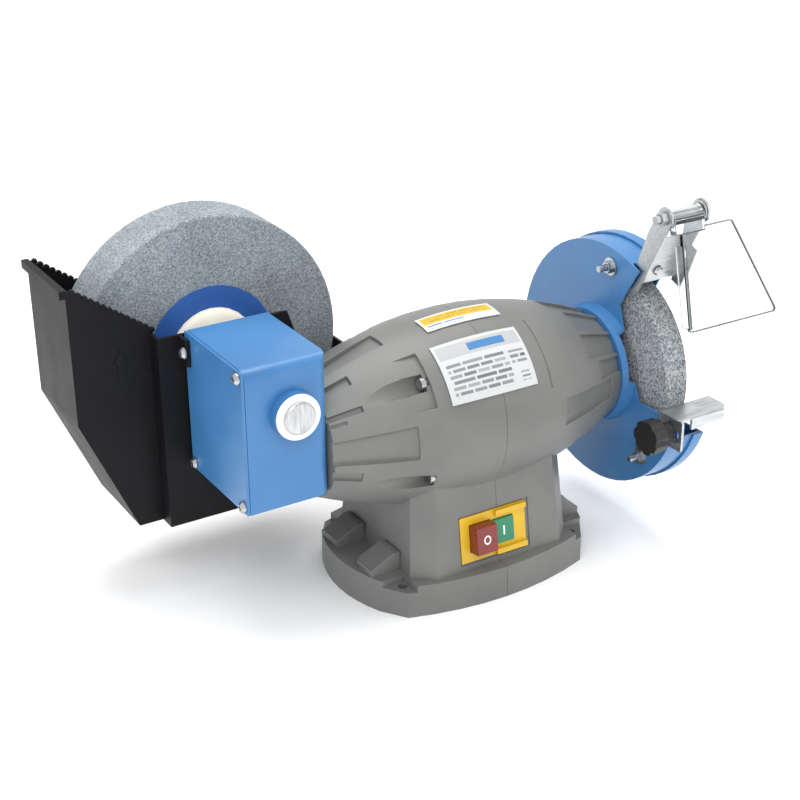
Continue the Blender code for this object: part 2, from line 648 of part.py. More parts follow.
def make_worm():
    """A core with one thread, whose crest stands straight above the core at the drive's centre."""
    root = WORM_PITCH_RADIUS - DEDENDUM
    tip = WORM_PITCH_RADIUS + ADDENDUM
    bury = 0.5 * MM
    wide = TOOTH_WIDTH / 2 + (DEDENDUM + bury) * math.tan(FLANK_ANGLE)
    slim = TOOTH_WIDTH / 2 - ADDENDUM * math.tan(FLANK_ANGLE)
    start = -WORM_LENGTH / 2
    bm = bmesh.new()
    corners = [(start - wide, root - bury), (start - slim, tip), (start + slim, tip),
               (start + wide, root - bury)]
    face = bm.faces.new([bm.verts.new((x, 0, z)) for x, z in corners])
    steps = 16 * WORM_TURNS
    bmesh.ops.spin(bm, geom=[face] + face.edges[:] + face.verts[:], cent=(0, 0, 0), axis=(1, 0, 0),
                   dvec=(WORM_LENGTH / steps, 0, 0), angle=2 * math.pi * WORM_TURNS, steps=steps)
    bmesh.ops.recalc_face_normals(bm, faces=bm.faces)
    mesh = bpy.data.meshes.new("worm_thread")
    bm.to_mesh(mesh)
    bm.free()
    thread = place("worm_thread", mesh, Matrix.Translation((DRIVE_X, 0, MOTOR_HEIGHT)))
    half = WORM_LENGTH / 2 + wide + MM
    worm = rod("worm", root, DRIVE_X - half, DRIVE_X + half, BRONZE, at=MOTOR, sides=28)
    join(worm, thread)
    cut(worm, rod("worm_bore", WORM_SHAFT_RADIUS + GAP, DRIVE_X - 2 * half, DRIVE_X + 2 * half, at=MOTOR,
                  sides=24))
    baked(worm)
    smooth(worm)
    return worm, half


def make_rotor():
    worm, worm_half = make_worm()
    bearing_inner = BEARING_AT - BEARING_WIDTH
    shoulder = WORM_SHAFT_RADIUS + GAP + 2 * MM
    worm_right = DRIVE_X + worm_half + GAP
    shaft = turned("motor_shaft",
                   [(0, DRIVE_X - worm_half - 2 * MM), (WORM_SHAFT_RADIUS, DRIVE_X - worm_half - 2 * MM),
                    (WORM_SHAFT_RADIUS, worm_right), (SHAFT_RADIUS, worm_right),
                    (SHAFT_RADIUS, -bearing_inner + GAP), (shoulder + 2 * MM, -bearing_inner + GAP),
                    (shoulder + 2 * MM, bearing_inner - GAP), (SHAFT_RADIUS, bearing_inner - GAP),
                    (SHAFT_RADIUS, DRY_FLANGE_X - GAP), (DRY_BORE, DRY_FLANGE_X - GAP),
                    (DRY_BORE, SHAFT_END), (0, SHAFT_END)], STEEL, at=MOTOR, segments=28)
    bore = shoulder + 2 * MM + GAP
    rotor = turned("rotor_core",
                   [(bore, -STATOR_HALF_LENGTH - 6 * MM), (ROTOR_RADIUS - 5 * MM, -STATOR_HALF_LENGTH - 6 * MM),
                    (ROTOR_RADIUS - 5 * MM, -STATOR_HALF_LENGTH), (ROTOR_RADIUS, -STATOR_HALF_LENGTH),
                    (ROTOR_RADIUS, STATOR_HALF_LENGTH), (ROTOR_RADIUS - 5 * MM, STATOR_HALF_LENGTH),
                    (ROTOR_RADIUS - 5 * MM, STATOR_HALF_LENGTH + 6 * MM), (bore, STATOR_HALF_LENGTH + 6 * MM)],
                   ALUMINIUM, at=MOTOR, closed=True)
    wheel = turned("dry_wheel", [(DRY_BORE + GAP, DRY_X), (DRY_RADIUS - MM, DRY_X), (DRY_RADIUS, DRY_X + MM),
                                 (DRY_RADIUS, DRY_OUTER_X - MM), (DRY_RADIUS - MM, DRY_OUTER_X),
                                 (DRY_BORE + GAP, DRY_OUTER_X)], STONE, at=MOTOR, closed=True, segments=48)
    pieces = [worm, shaft, rotor, wheel]
    for name, low in (("dry_flange_inner", DRY_FLANGE_X), ("dry_flange_outer", OUTER_FLANGE_X)):
        high = low + DRY_FLANGE
        pieces.append(turned(name, [(DRY_BORE + GAP, low), (DRY_FLANGE_RADIUS, low), (DRY_FLANGE_RADIUS, high),
                                    (DRY_BORE + GAP, high)], STEEL, at=MOTOR, closed=True))
    nut = rod("dry_nut", NUT_RADIUS, NUT_X, NUT_X + NUT_THICKNESS, STEEL, at=MOTOR, sides=6)
    cut(nut, rod("nut_bore", DRY_BORE + GAP, NUT_X - MM, NUT_X + NUT_THICKNESS + MM, at=MOTOR, sides=24))
    pieces.append(nut)
    for piece in pieces:
        smooth(piece)
    carry(axis_empty("rotor_axis", MOTOR), *pieces)


# ---------------------------------------------------------------- gearbox and wet wheel

DRIVE = (DRIVE_X, 0, DRIVE_Z)
GEARBOX_RIGHT = -BARREL_HALF_LENGTH - GAP
BUSH_FRONT_Y = GEARBOX_FRONT - BOSS_LENGTH - GAP
BUSH_BACK_Y = GEARBOX_BACK + GAP


def gearbox_screws():
    """Each cover screw's (y, z, head's seat): the upper back one also holds the tray's tab."""
    low, high = GEARBOX_BOTTOM + SCREW_INSET, GEARBOX_TOP - SCREW_INSET
    front, back = GEARBOX_FRONT + SCREW_INSET, GEARBOX_BACK - SCREW_INSET
    tab = GEARBOX_LEFT - TRAY_WALL - 2 * GAP
    return ((front, low, GEARBOX_LEFT - GAP), (front, high, GEARBOX_LEFT - GAP),
            (back, low, GEARBOX_LEFT - GAP), (back, TRAY_RIM - TRAY_TAB_HEIGHT / 2, tab))


def pan_screw(name, seat, tip, side, at):
    """A pan-head screw along X. Its head stands on the seat, on the given side of it."""
    head = seat + side * SCREW_HEAD
    screw = turned(name, [(0, head), (SCREW_HEAD_RADIUS * 0.6, head),
                          (SCREW_HEAD_RADIUS, seat + side * SCREW_HEAD * 0.4), (SCREW_HEAD_RADIUS, seat),
                          (SCREW_RADIUS, seat), (SCREW_RADIUS, tip), (0, tip)],
                   STEEL, at=at, segments=16)
    smooth(screw)
    return screw


def make_gearbox():
    left = GEARBOX_LEFT + COVER_THICKNESS + GAP
    body = box("gearbox_housing", (left, GEARBOX_FRONT, GEARBOX_BOTTOM), (GEARBOX_RIGHT, GEARBOX_BACK, GEARBOX_TOP),
               BLUE)
    round_edges(body, GEARBOX_ROUND, 4, lambda x, y, z: abs(y - GEARBOX_FRONT) < GAP and (
        abs(z - GEARBOX_TOP) < GAP or abs(x - GEARBOX_RIGHT) < GAP))
    join(body, rod("gearbox_boss", BOSS_RADIUS, GEARBOX_FRONT - BOSS_LENGTH, GEARBOX_FRONT + 2 * MM, axis="Y",
                   at=DRIVE))
    cut(body, box("gearbox_room", (left - 5 * MM, GEARBOX_FRONT + GEARBOX_WALL, GEARBOX_BOTTOM + GEARBOX_WALL),
                  (GEARBOX_RIGHT - GEARBOX_WALL, GEARBOX_BACK - GEARBOX_WALL, GEARBOX_TOP - GEARBOX_WALL)))
    depth = SCREW_LENGTH + 5 * MM
    for y, z, seat in gearbox_screws():
        post = 4 * MM
        middle = ((GEARBOX_FRONT + GEARBOX_BACK) / 2, (GEARBOX_BOTTOM + GEARBOX_TOP) / 2)
        reach_y = y + math.copysign(SCREW_INSET - MM, y - middle[0])
        reach_z = z + math.copysign(SCREW_INSET - MM, z - middle[1])
        inner_y = y - math.copysign(post, y - middle[0])
        inner_z = z - math.copysign(post, z - middle[1])
        ys, zs = sorted((reach_y, inner_y)), sorted((reach_z, inner_z))
        join(body, box("screw_post", (left, ys[0], zs[0]), (left + depth, ys[1], zs[1])))
    for y, z, seat in gearbox_screws():
        cut(body, rod("post_hole", SCREW_RADIUS + THREAD_CLEARANCE, left - 5 * MM, left + depth - 2 * MM,
                      at=(0, y, z), sides=12))
    tab_z = TRAY_RIM - TRAY_TAB_HEIGHT / 2
    cut(body, rod("tray_screw_hole", SCREW_RADIUS + THREAD_CLEARANCE, GEARBOX_RIGHT - 12 * MM,
                  GEARBOX_RIGHT + 5 * MM, at=(0, GEARBOX_BACK - SCREW_INSET, tab_z), sides=12))
    cut(body, rod("bush_bore", BUSH_RADIUS + GAP, GEARBOX_FRONT - 20 * MM, GEARBOX_BACK + 20 * MM, axis="Y",
                  at=DRIVE))
    cut(body, rod("shaft_bore", SHAFT_RADIUS + 2 * RUNNING, GEARBOX_RIGHT - 10 * MM, GEARBOX_RIGHT + 5 * MM,
                  at=MOTOR))
    smooth(body)

    cover = plate("gearbox_cover", [(GEARBOX_FRONT, GEARBOX_BOTTOM), (GEARBOX_BACK, GEARBOX_BOTTOM),
                                    (GEARBOX_BACK, GEARBOX_TOP), (GEARBOX_FRONT, GEARBOX_TOP)],
                  GEARBOX_LEFT, GEARBOX_LEFT + COVER_THICKNESS, BLUE)
    for i, (y, z, seat) in enumerate(gearbox_screws(), 1):
        cut(cover, rod("cover_hole", SCREW_RADIUS + THREAD_CLEARANCE, GEARBOX_LEFT - 5 * MM,
                       GEARBOX_LEFT + 5 * MM, at=(0, y, z), sides=12))
        pan_screw(f"gearbox_screw_{i}", seat, left + SCREW_LENGTH, -1, (0, y, z))
    pan_screw("tray_screw", GEARBOX_RIGHT + TRAY_WALL + 2 * GAP, GEARBOX_RIGHT - 9 * MM, 1,
              (0, GEARBOX_BACK - SCREW_INSET, tab_z))

    bore = OUTPUT_SHAFT_RADIUS + RUNNING
    for name, face, side, material in (("front_bush", BUSH_FRONT_Y, -1, WHITE),
                                       ("rear_bush", BUSH_BACK_Y, 1, WHITE)):
        outer = face + side * BUSH_FLANGE
        inner = face - side * (GEARBOX_WALL + (BOSS_LENGTH if side < 0 else 0) - MM)
        bush = turned(name, [(bore, outer), (BUSH_FLANGE_RADIUS, outer), (BUSH_FLANGE_RADIUS, face),
                             (BUSH_RADIUS, face), (BUSH_RADIUS, inner), (bore, inner)],
                      material, axis="Y", at=DRIVE, closed=True, segments=32)
        smooth(bush)


def gear_outline():
    """The worm wheel's teeth, with the middle of a gap straight down."""
    pitch_radius = WHEEL_TEETH * MODULE / 2
    root, tip = pitch_radius - DEDENDUM, pitch_radius + ADDENDUM
    wide = (TOOTH_WIDTH / 2 + DEDENDUM * math.tan(FLANK_ANGLE)) / root
    slim = (TOOTH_WIDTH / 2 - ADDENDUM * math.tan(FLANK_ANGLE)) / tip
    points = []
    for tooth in range(WHEEL_TEETH):
        middle = -math.pi / 2 + 2 * math.pi * (tooth + 0.5) / WHEEL_TEETH
        for radius, angle in ((root, -wide), (tip, -slim), (tip, slim), (root, wide)):
            points.append((radius * math.cos(middle + angle), radius * math.sin(middle + angle)))
    return points


def make_worm_wheel():
    """Teeth that lean with the worm's lead, made as a twisted extrusion."""
    lead_slope = WORM_PITCH / (2 * math.pi * WORM_PITCH_RADIUS)
    twist = WORM_WHEEL_WIDTH * lead_slope / (WHEEL_TEETH * MODULE / 2)
    slices = 2
    bm = bmesh.new()
    face = bm.faces.new([bm.verts.new((x, -WORM_WHEEL_WIDTH / 2, z)) for x, z in gear_outline()])
    y_axis = Matrix.Rotation
    bmesh.ops.rotate(bm, verts=bm.verts, cent=(0, 0, 0), matrix=y_axis(-twist / 2, 3, "Y"))
    for k in range(slices):
        new = bmesh.ops.extrude_face_region(bm, geom=[face])["geom"]
        if k:
            bmesh.ops.delete(bm, geom=[face], context="FACES_ONLY")
        verts = [v for v in new if isinstance(v, bmesh.types.BMVert)]
        face = next(f for f in new if isinstance(f, bmesh.types.BMFace))
        bmesh.ops.translate(bm, verts=verts, vec=(0, WORM_WHEEL_WIDTH / slices, 0))
        bmesh.ops.rotate(bm, verts=verts, cent=(0, 0, 0), matrix=y_axis(twist / slices, 3, "Y"))
    bmesh.ops.recalc_face_normals(bm, faces=bm.faces)
    mesh = bpy.data.meshes.new("worm_wheel")
    bm.to_mesh(mesh)
    bm.free()
    wheel = place("worm_wheel", mesh, Matrix.Translation(DRIVE), BRONZE)
    cut(wheel, rod("worm_wheel_bore", OUTPUT_SHAFT_RADIUS + GAP, -20 * MM, 20 * MM, axis="Y", at=DRIVE))
    return wheel


def make_wet_wheel():
    back = WET_FACE_Y + WET_WIDTH
    flange_back = back + GAP + WET_BACK_FLANGE
    nut_y = flange_back + GAP
    end = nut_y + NUT_THICKNESS + GAP
    front_end = BUSH_FRONT_Y - BUSH_FLANGE
    seat = WET_FACE_Y - GAP - LABEL_THICKNESS - GAP  # where the front flange meets the label
    thread = OUTPUT_SHAFT_RADIUS - 2 * MM
    collar = front_end - GAP
    shaft = turned("output_shaft",
                   [(0, collar - 2 * MM), (CAP_RADIUS - MM, collar - 2 * MM), (CAP_RADIUS, collar - MM),
                    (CAP_RADIUS, collar), (OUTPUT_SHAFT_RADIUS, collar), (OUTPUT_SHAFT_RADIUS, back - MM),
                    (thread, back - MM), (thread, end), (0, end)], STEEL, axis="Y", at=DRIVE, segments=28)
    bore = OUTPUT_SHAFT_RADIUS + GAP
    wheel = turned("wet_wheel", [(bore, WET_FACE_Y), (WET_RADIUS - MM, WET_FACE_Y),
                                 (WET_RADIUS, WET_FACE_Y + MM), (WET_RADIUS, back - MM), (WET_RADIUS - MM, back),
                                 (bore, back)], STONE, axis="Y", at=DRIVE, closed=True, segments=56)
    label = turned("wheel_label", [(bore, WET_FACE_Y - GAP - LABEL_THICKNESS),
                                   (WET_LABEL_RADIUS, WET_FACE_Y - GAP - LABEL_THICKNESS),
                                   (WET_LABEL_RADIUS, WET_FACE_Y - GAP), (bore, WET_FACE_Y - GAP)],
                   BLUE, axis="Y", at=DRIVE, closed=True)
    dome = [(WET_FLANGE_RADIUS * math.sin(math.radians(a)), seat - 2 * MM - (WET_FLANGE - 2 * MM)
             * math.cos(math.radians(a))) for a in (90, 75, 60, 45, 30)]
    front = turned("wet_flange_front", [(bore, seat), (WET_FLANGE_RADIUS, seat)] + dome
                   + [(bore, seat - WET_FLANGE)], CREAM, axis="Y", at=DRIVE, closed=True)
    rear = turned("wet_flange_rear", [(thread + GAP, back + GAP), (WET_FLANGE_RADIUS, back + GAP),
                                      (WET_FLANGE_RADIUS, flange_back), (thread + GAP, flange_back)],
                  STEEL, axis="Y", at=DRIVE, closed=True)
    nut = rod("wet_nut", NUT_RADIUS, nut_y, nut_y + NUT_THICKNESS, STEEL, axis="Y", at=DRIVE, sides=6)
    cut(nut, rod("wet_nut_bore", thread + GAP, nut_y - MM, nut_y + NUT_THICKNESS + MM, axis="Y", at=DRIVE,
                 sides=24))
    pieces = [shaft, wheel, label, front, rear, nut]
    for piece in pieces:
        smooth(piece)
    carry(axis_empty("wet_axis", DRIVE), make_worm_wheel(), *pieces)


def make_water_tray():
    """An open tray round the lower half of the wet wheel, high on the left where the tool is held."""
    left = DRIVE_X - WET_RADIUS - TRAY_CLEARANCE
    right = DRIVE_X + WET_RADIUS + TRAY_CLEARANCE
    rim_break = TRAY_PANEL_LEFT + 6 * MM
    side_break = TRAY_PANEL_RIGHT - 8 * MM

    def body_outline(inset, raised):
        return [(left + inset, TRAY_LEFT_RIM + raised), (left + inset, TRAY_SLOPE_TOP),
                (left + TRAY_SLOPE_RUN + inset, TRAY_BOTTOM + inset),
                (right - TRAY_SLOPE_RUN - inset, TRAY_BOTTOM + inset), (right - inset, TRAY_SLOPE_TOP),
                (right - inset, TRAY_RIGHT_RIM + raised), (TRAY_PANEL_RIGHT + 12 * MM, TRAY_RIGHT_RIM + raised),
                (side_break, TRAY_RIM + raised), (rim_break, TRAY_RIM + raised)]

    def panel_outline(inset, raised):
        return [(TRAY_PANEL_LEFT + inset, TRAY_RIM + raised), (TRAY_PANEL_LEFT + inset, TRAY_BOTTOM + inset),
                (TRAY_PANEL_RIGHT - inset, TRAY_BOTTOM + inset),
                (TRAY_PANEL_RIGHT - inset, TRAY_RIM - 24 * MM + raised), (side_break - inset, TRAY_RIM + raised)]

    tray = plate("water_tray", body_outline(0, 0), TRAY_FRONT, TRAY_BACK, BLACK, axis="Y")
    join(tray, plate("tray_panel", panel_outline(0, 0), TRAY_PANEL, TRAY_FRONT + 5 * MM, axis="Y"))
    join(tray, box("tray_lip", (left - TRAY_LIP, TRAY_FRONT, TRAY_LEFT_RIM - 6 * MM),
                   (left + MM, TRAY_BACK, TRAY_LEFT_RIM)))
    tab_z = (TRAY_RIM - TRAY_TAB_HEIGHT, TRAY_RIM)
    for low in (GEARBOX_LEFT - GAP - TRAY_WALL, GEARBOX_RIGHT + GAP):
        join(tray, box("tray_tab", (low, TRAY_PANEL - TRAY_TAB_REACH - 2 * MM, tab_z[0]),
                       (low + TRAY_WALL, TRAY_PANEL + MM, tab_z[1])))
    cut(tray, plate("tray_room", body_outline(TRAY_WALL, 60 * MM), TRAY_FRONT + TRAY_WALL,
                    TRAY_BACK - TRAY_WALL, axis="Y"))
    cut(tray, plate("tray_panel_room", panel_outline(TRAY_WALL, 60 * MM), TRAY_PANEL + TRAY_WALL,
                    TRAY_FRONT + 10 * MM, axis="Y"))
    slot = [(DRIVE_X - TRAY_SLOT_HALF, TRAY_RIM + 20 * MM)]
    slot += circle((DRIVE_X, DRIVE_Z), TRAY_SLOT_HALF, 180, 360, 12)
    slot += [(DRIVE_X + TRAY_SLOT_HALF, TRAY_RIM + 20 * MM)]
    cut(tray, plate("tray_slot", slot, TRAY_PANEL - 5 * MM, TRAY_PANEL + TRAY_WALL + MM, axis="Y"))
    for x in (GEARBOX_LEFT, GEARBOX_RIGHT):
        cut(tray, rod("tab_hole", SCREW_RADIUS + THREAD_CLEARANCE, x - 6 * MM, x + 6 * MM,
                      at=(0, GEARBOX_BACK - SCREW_INSET, TRAY_RIM - TRAY_TAB_HEIGHT / 2), sides=12))


# ---------------------------------------------------------------- dry wheel guard

COVER_X = DRY_OUTER_X + GUARD_SIDE_GAP  # inner face of the guard's outer sheet
REST_BACK = -math.sqrt(DRY_RADIUS**2 - (REST_TOP - MOTOR_HEIGHT) ** 2) - REST_GAP
REST_FRONT = REST_BACK - REST_DEPTH
REST_BOLT = (0, REST_BACK - 12.5 * MM, REST_TOP - REST_BOLT_DROP)
LEG_X = GUARD_PLATE_X - GAP - REST_SHEET
FAR = 150 * MM


def window(top):
    """The opening at the front of the guard, as (y, z) points, with its top edge above the axis."""
    z = MOTOR_HEIGHT
    return [(-FAR, z + top), (-42 * MM, z + top), (-31 * MM, z + 68 * MM), (-23 * MM, z + 53 * MM),
            (-30 * MM, z + 31 * MM), (-41 * MM, z + 6 * MM), (-50 * MM, z - 13 * MM), (-60 * MM, z - 30.5 * MM),
            (-FAR, z - 30.5 * MM)]


def make_guard():
    boss_x = BARREL_HALF_LENGTH + GAP
    inner = GUARD_PLATE_X + GUARD_SHEET
    bore = SHAFT_RADIUS + 4 * MM
    shell = turned("guard_shell",
                   [(GUARD_RADIUS, COVER_X - GAP), (GUARD_RADIUS, GUARD_PLATE_X),
                    (GUARD_BOSS_RADIUS + 2 * MM, GUARD_PLATE_X), (GUARD_BOSS_RADIUS, boss_x), (bore, boss_x),
                    (bore, boss_x + GUARD_SHEET), (GUARD_BOSS_RADIUS - GUARD_SHEET, boss_x + GUARD_SHEET),
                    (GUARD_BOSS_RADIUS + 1 * MM, inner), (GUARD_RADIUS - GUARD_SHEET, inner),
                    (GUARD_RADIUS - GUARD_SHEET, COVER_X - GAP)], BLUE, at=MOTOR, closed=True, segments=56)
    cut(shell, plate("guard_window", window(85 * MM), GUARD_PLATE_X - 5 * MM, COVER_X + 5 * MM))
    ear = [(-46 * MM, REST_TOP - 5 * MM), (-46 * MM, REST_TOP - 30 * MM),
           (REST_FRONT + 4 * MM, REST_TOP - 24 * MM), (REST_FRONT + 4 * MM, REST_TOP - 7 * MM),
           (REST_FRONT + 9 * MM, REST_TOP - 3.5 * MM)]
    join(shell, plate("guard_ear", ear, GUARD_PLATE_X, inner))
    seat = bracket_frame()
    join(shell, box("guard_tab", (3 * MM, 0, -9 * MM), (17 * MM, 2 * GUARD_SHEET, 10 * MM), frame=seat))
    cut(shell, box("bracket_notch", (inner - BRACKET_X + 0.1 * MM, -6 * MM, -26 * MM),
                   (BRACKET_SHEET + GAP, 11 * MM, 30 * MM), frame=seat))
    cut(shell, rod("rest_bolt_hole", REST_BOLT_RADIUS + THREAD_CLEARANCE, LEG_X - 5 * MM, inner + 5 * MM,
                   at=REST_BOLT, sides=16))
    tab_screw = rod("tab_screw_hole", SCREW_RADIUS + THREAD_CLEARANCE, -5 * MM, 5 * MM, axis="Y",
                    at=(BRACKET_SCREW_X, 0, 0), sides=12)
    tab_screw.matrix_world = seat @ tab_screw.matrix_world
    cut(shell, tab_screw)

    outer = COVER_X + GUARD_SHEET
    dome_x = SHAFT_END + GUARD_SHEET + 2 * MM
    skirt = GUARD_RADIUS + GAP
    cover = turned("guard_cover",
                   [(0, dome_x), (DOME_RADIUS - 6 * MM, dome_x), (DOME_RADIUS, outer),
                    (skirt + GUARD_SHEET, outer), (skirt + GUARD_SHEET, outer - GUARD_LIP),
                    (skirt, outer - GUARD_LIP), (skirt, COVER_X), (DOME_RADIUS - GUARD_SHEET, COVER_X),
                    (DOME_RADIUS - 6 * MM - GUARD_SHEET, dome_x - GUARD_SHEET), (0, dome_x - GUARD_SHEET)],
                   BLUE, at=MOTOR, segments=56)
    cut(cover, plate("cover_window", window(87 * MM), GUARD_PLATE_X - 5 * MM, dome_x + 5 * MM))
    for i, angle in enumerate(GUARD_BOLT_ANGLES, 1):
        at = screw_centre(angle, GUARD_BOLT_CIRCLE)
        hole = GUARD_BOLT_RADIUS + THREAD_CLEARANCE
        cut(shell, rod("guard_bolt_hole", hole, GUARD_PLATE_X - 5 * MM, inner + 5 * MM, at=at, sides=12))
        cut(cover, rod("cover_bolt_hole", hole, COVER_X - 5 * MM, outer + 5 * MM, at=at, sides=12))
        head = outer + GAP
        bolt = turned(f"guard_bolt_{i}",
                      [(0, head + 3 * MM), (4.2 * MM, head + 3 * MM), (4.6 * MM, head), (GUARD_BOLT_RADIUS, head),
                       (GUARD_BOLT_RADIUS, GUARD_PLATE_X - 12 * MM), (0, GUARD_PLATE_X - 12 * MM)],
                      STEEL, at=at, segments=16)
        nut_high = GUARD_PLATE_X - GAP
        nut = rod(f"guard_nut_{i}", 4.8 * MM, nut_high - 5 * MM, nut_high, STEEL, at=at, sides=6)
        cut(nut, rod("guard_nut_bore", hole, nut_high - 9 * MM, nut_high + MM, at=at, sides=12))
        smooth(bolt)
    smooth(shell)
    smooth(cover)


# ---------------------------------------------------------------- tool rest

def make_tool_rest():
    """A folded steel rest. Its slotted leg slides under the knob, to follow the wheel as it wears."""
    right = LEG_X + REST_LENGTH
    step = 0.2 * MM  # keeps the leg's faces off the table's
    left = LEG_X + step
    top = plate("tool_rest", [(left, REST_BACK), (left, REST_FRONT), (right - 6 * MM, REST_FRONT),
                              (right, REST_FRONT + 6 * MM), (right, REST_BACK)],
                REST_TOP - REST_SHEET, REST_TOP, ZINC, axis="Z")
    leg_front = REST_FRONT - 3 * MM
    leg_back, leg_top, leg_low = REST_BACK + step, REST_TOP - step, REST_TOP - REST_LEG_HEIGHT
    leg = plate("rest_leg", rounded([(leg_back, leg_top), (leg_front, leg_top), (leg_front, leg_low),
                                     (leg_back, leg_low)], 2 * MM), LEG_X, LEG_X + REST_SHEET)
    lip = box("rest_lip", (LEG_X + 11 * MM, REST_FRONT - MM, REST_TOP - REST_LIP),
              (right - 6 * MM, REST_FRONT - MM + REST_SHEET, REST_TOP - 0.2 * MM))
    join(top, leg, lip)
    radius = REST_BOLT_RADIUS + THREAD_CLEARANCE
    y, z = REST_BOLT[1:]
    back = y + REST_SLOT_TRAVEL / 2
    front = y - REST_SLOT_TRAVEL / 2
    slot = circle((back, z), radius, -90, 90, 8) + circle((front, z), radius, 90, 270, 8)
    cut(top, plate("rest_slot", slot, LEG_X - 5 * MM, LEG_X + 5 * MM))
    carry(axis_empty("rest_slide", (LEG_X, y, z)), top)

    head = GUARD_PLATE_X + GUARD_SHEET + GAP
    knob_right = LEG_X - GAP
    knob_left = knob_right - KNOB_STEM - KNOB_LENGTH
    bolt = turned("rest_bolt", [(0, head + 2 * MM), (5 * MM, head + 2 * MM), (6.5 * MM, head),
                                (REST_BOLT_RADIUS, head), (REST_BOLT_RADIUS, knob_left + 3 * MM),
                                (0, knob_left + 3 * MM)], STEEL, at=REST_BOLT, segments=20)
    smooth(bolt)

    lobes = 7
    star = []
    for k in range(lobes * 4):
        angle = 2 * math.pi * k / (lobes * 4)
        radius = KNOB_RADIUS - (1.6 * MM if k % 4 == 2 else 0)
        star.append((y + radius * math.cos(angle), z + radius * math.sin(angle)))
    knob = plate("rest_knob", star, knob_left, knob_left + KNOB_LENGTH, BLACK)
    join(knob, rod("knob_stem", KNOB_RADIUS * 0.55, knob_left + KNOB_LENGTH - MM, knob_right, at=(0, y, z)))
    cut(knob, rod("knob_bore", REST_BOLT_RADIUS + GAP, knob_left + 2 * MM, knob_right + MM, at=(0, y, z),
                  sides=20))
    smooth(knob)
    carry(axis_empty("knob_axis", (knob_left, y, z)), knob)


# ---------------------------------------------------------------- eye shield

BRACKET_X = GUARD_PLATE_X + 3 * MM  # left face of the bracket's left cheek
BRACKET_SCREW_X = 12 * MM  # from there
BRACKET_SCREW = (-44 * MM, MOTOR_HEIGHT + 85.5 * MM)  # y, z


def bracket_frame():
    """Origin at the bracket's screw, X along the machine, Z up the leaning sheet, Y through it."""
    y, z = BRACKET_SCREW
    return (Matrix.Translation((BRACKET_X, y, z)) @ Matrix.Rotation(BRACKET_LEAN, 4, "X")
            @ Matrix.Translation((0, 0, 0)))


def make_bracket():
    frame = bracket_frame()
    pivot = frame.inverted() @ Vector((0, PIVOT_Y, PIVOT_Z))
    sheet = BRACKET_SHEET
    top = 30 * MM
    front = -GAP - sheet
    body = box("shield_bracket", (0, front, -10 * MM), (BRACKET_WIDTH, front + sheet, top), ZINC, frame=frame)
    arm = [(front, -18 * MM), (front + 5 * MM, -23 * MM), (front + 10 * MM, -12 * MM), (front + 10 * MM, top)]
    low_arm = [(front, -8 * MM), (front + 1.1 * MM, -8 * MM), (front + 10 * MM, top)]
    for name, x, shape in (("left_cheek", 0, arm), ("right_cheek", BRACKET_WIDTH - sheet, low_arm)):
        ear = circle((pivot.y, pivot.z), EAR_RADIUS, 20, 200, 10)
        join(body, plate(name, shape + ear, x, x + sheet, frame=frame))
    wing = box("right_wing", (BRACKET_WIDTH - sheet, front - 11 * MM, -14 * MM),
               (BRACKET_WIDTH, front + MM, top - 8 * MM), frame=frame)
    join(body, wing)
    hole = PIVOT_RADIUS + THREAD_CLEARANCE
    cut(body, rod("pivot_hole", hole, BRACKET_X - 9 * MM, BRACKET_X + BRACKET_WIDTH + 9 * MM,
                  at=(0, PIVOT_Y, PIVOT_Z), sides=20))
    screw_hole = rod("bracket_screw_hole", SCREW_RADIUS + THREAD_CLEARANCE, -9 * MM, 9 * MM, axis="Y",
                     at=(BRACKET_SCREW_X, 0, 0), sides=12)
    screw_hole.matrix_world = frame @ screw_hole.matrix_world
    cut(body, screw_hole)

    seat = front - GAP
    screw = turned("bracket_screw", [(0, seat - 2.4 * MM), (2.6 * MM, seat - 2.4 * MM),
                                     (SCREW_HEAD_RADIUS - 0.5 * MM, seat - MM), (SCREW_HEAD_RADIUS - 0.5 * MM, seat),
                                     (SCREW_RADIUS, seat), (SCREW_RADIUS, 5 * MM), (0, 5 * MM)],
                   STEEL, axis="Y", at=(BRACKET_SCREW_X, 0, 0), segments=16)
    screw.matrix_world = frame @ screw.matrix_world
    smooth(screw)

    left = BRACKET_X - GAP
    right = BRACKET_X + BRACKET_WIDTH + GAP
    at = (0, PIVOT_Y, PIVOT_Z)
    bolt = turned("pivot_bolt", [(0, right + 3 * MM), (8 * MM, right + 3 * MM), (9 * MM, right + 2 * MM),
                                 (9 * MM, right), (PIVOT_RADIUS, right), (PIVOT_RADIUS, left - 9 * MM),
                                 (0, left - 9 * MM)], STEEL, at=at, segments=24)
    nut = rod("pivot_nut", 5.2 * MM, left - 5 * MM, left, STEEL, at=at, sides=6)
    cut(nut, rod("pivot_nut_bore", hole, left - 9 * MM, left + MM, at=at, sides=16))
    smooth(bolt)


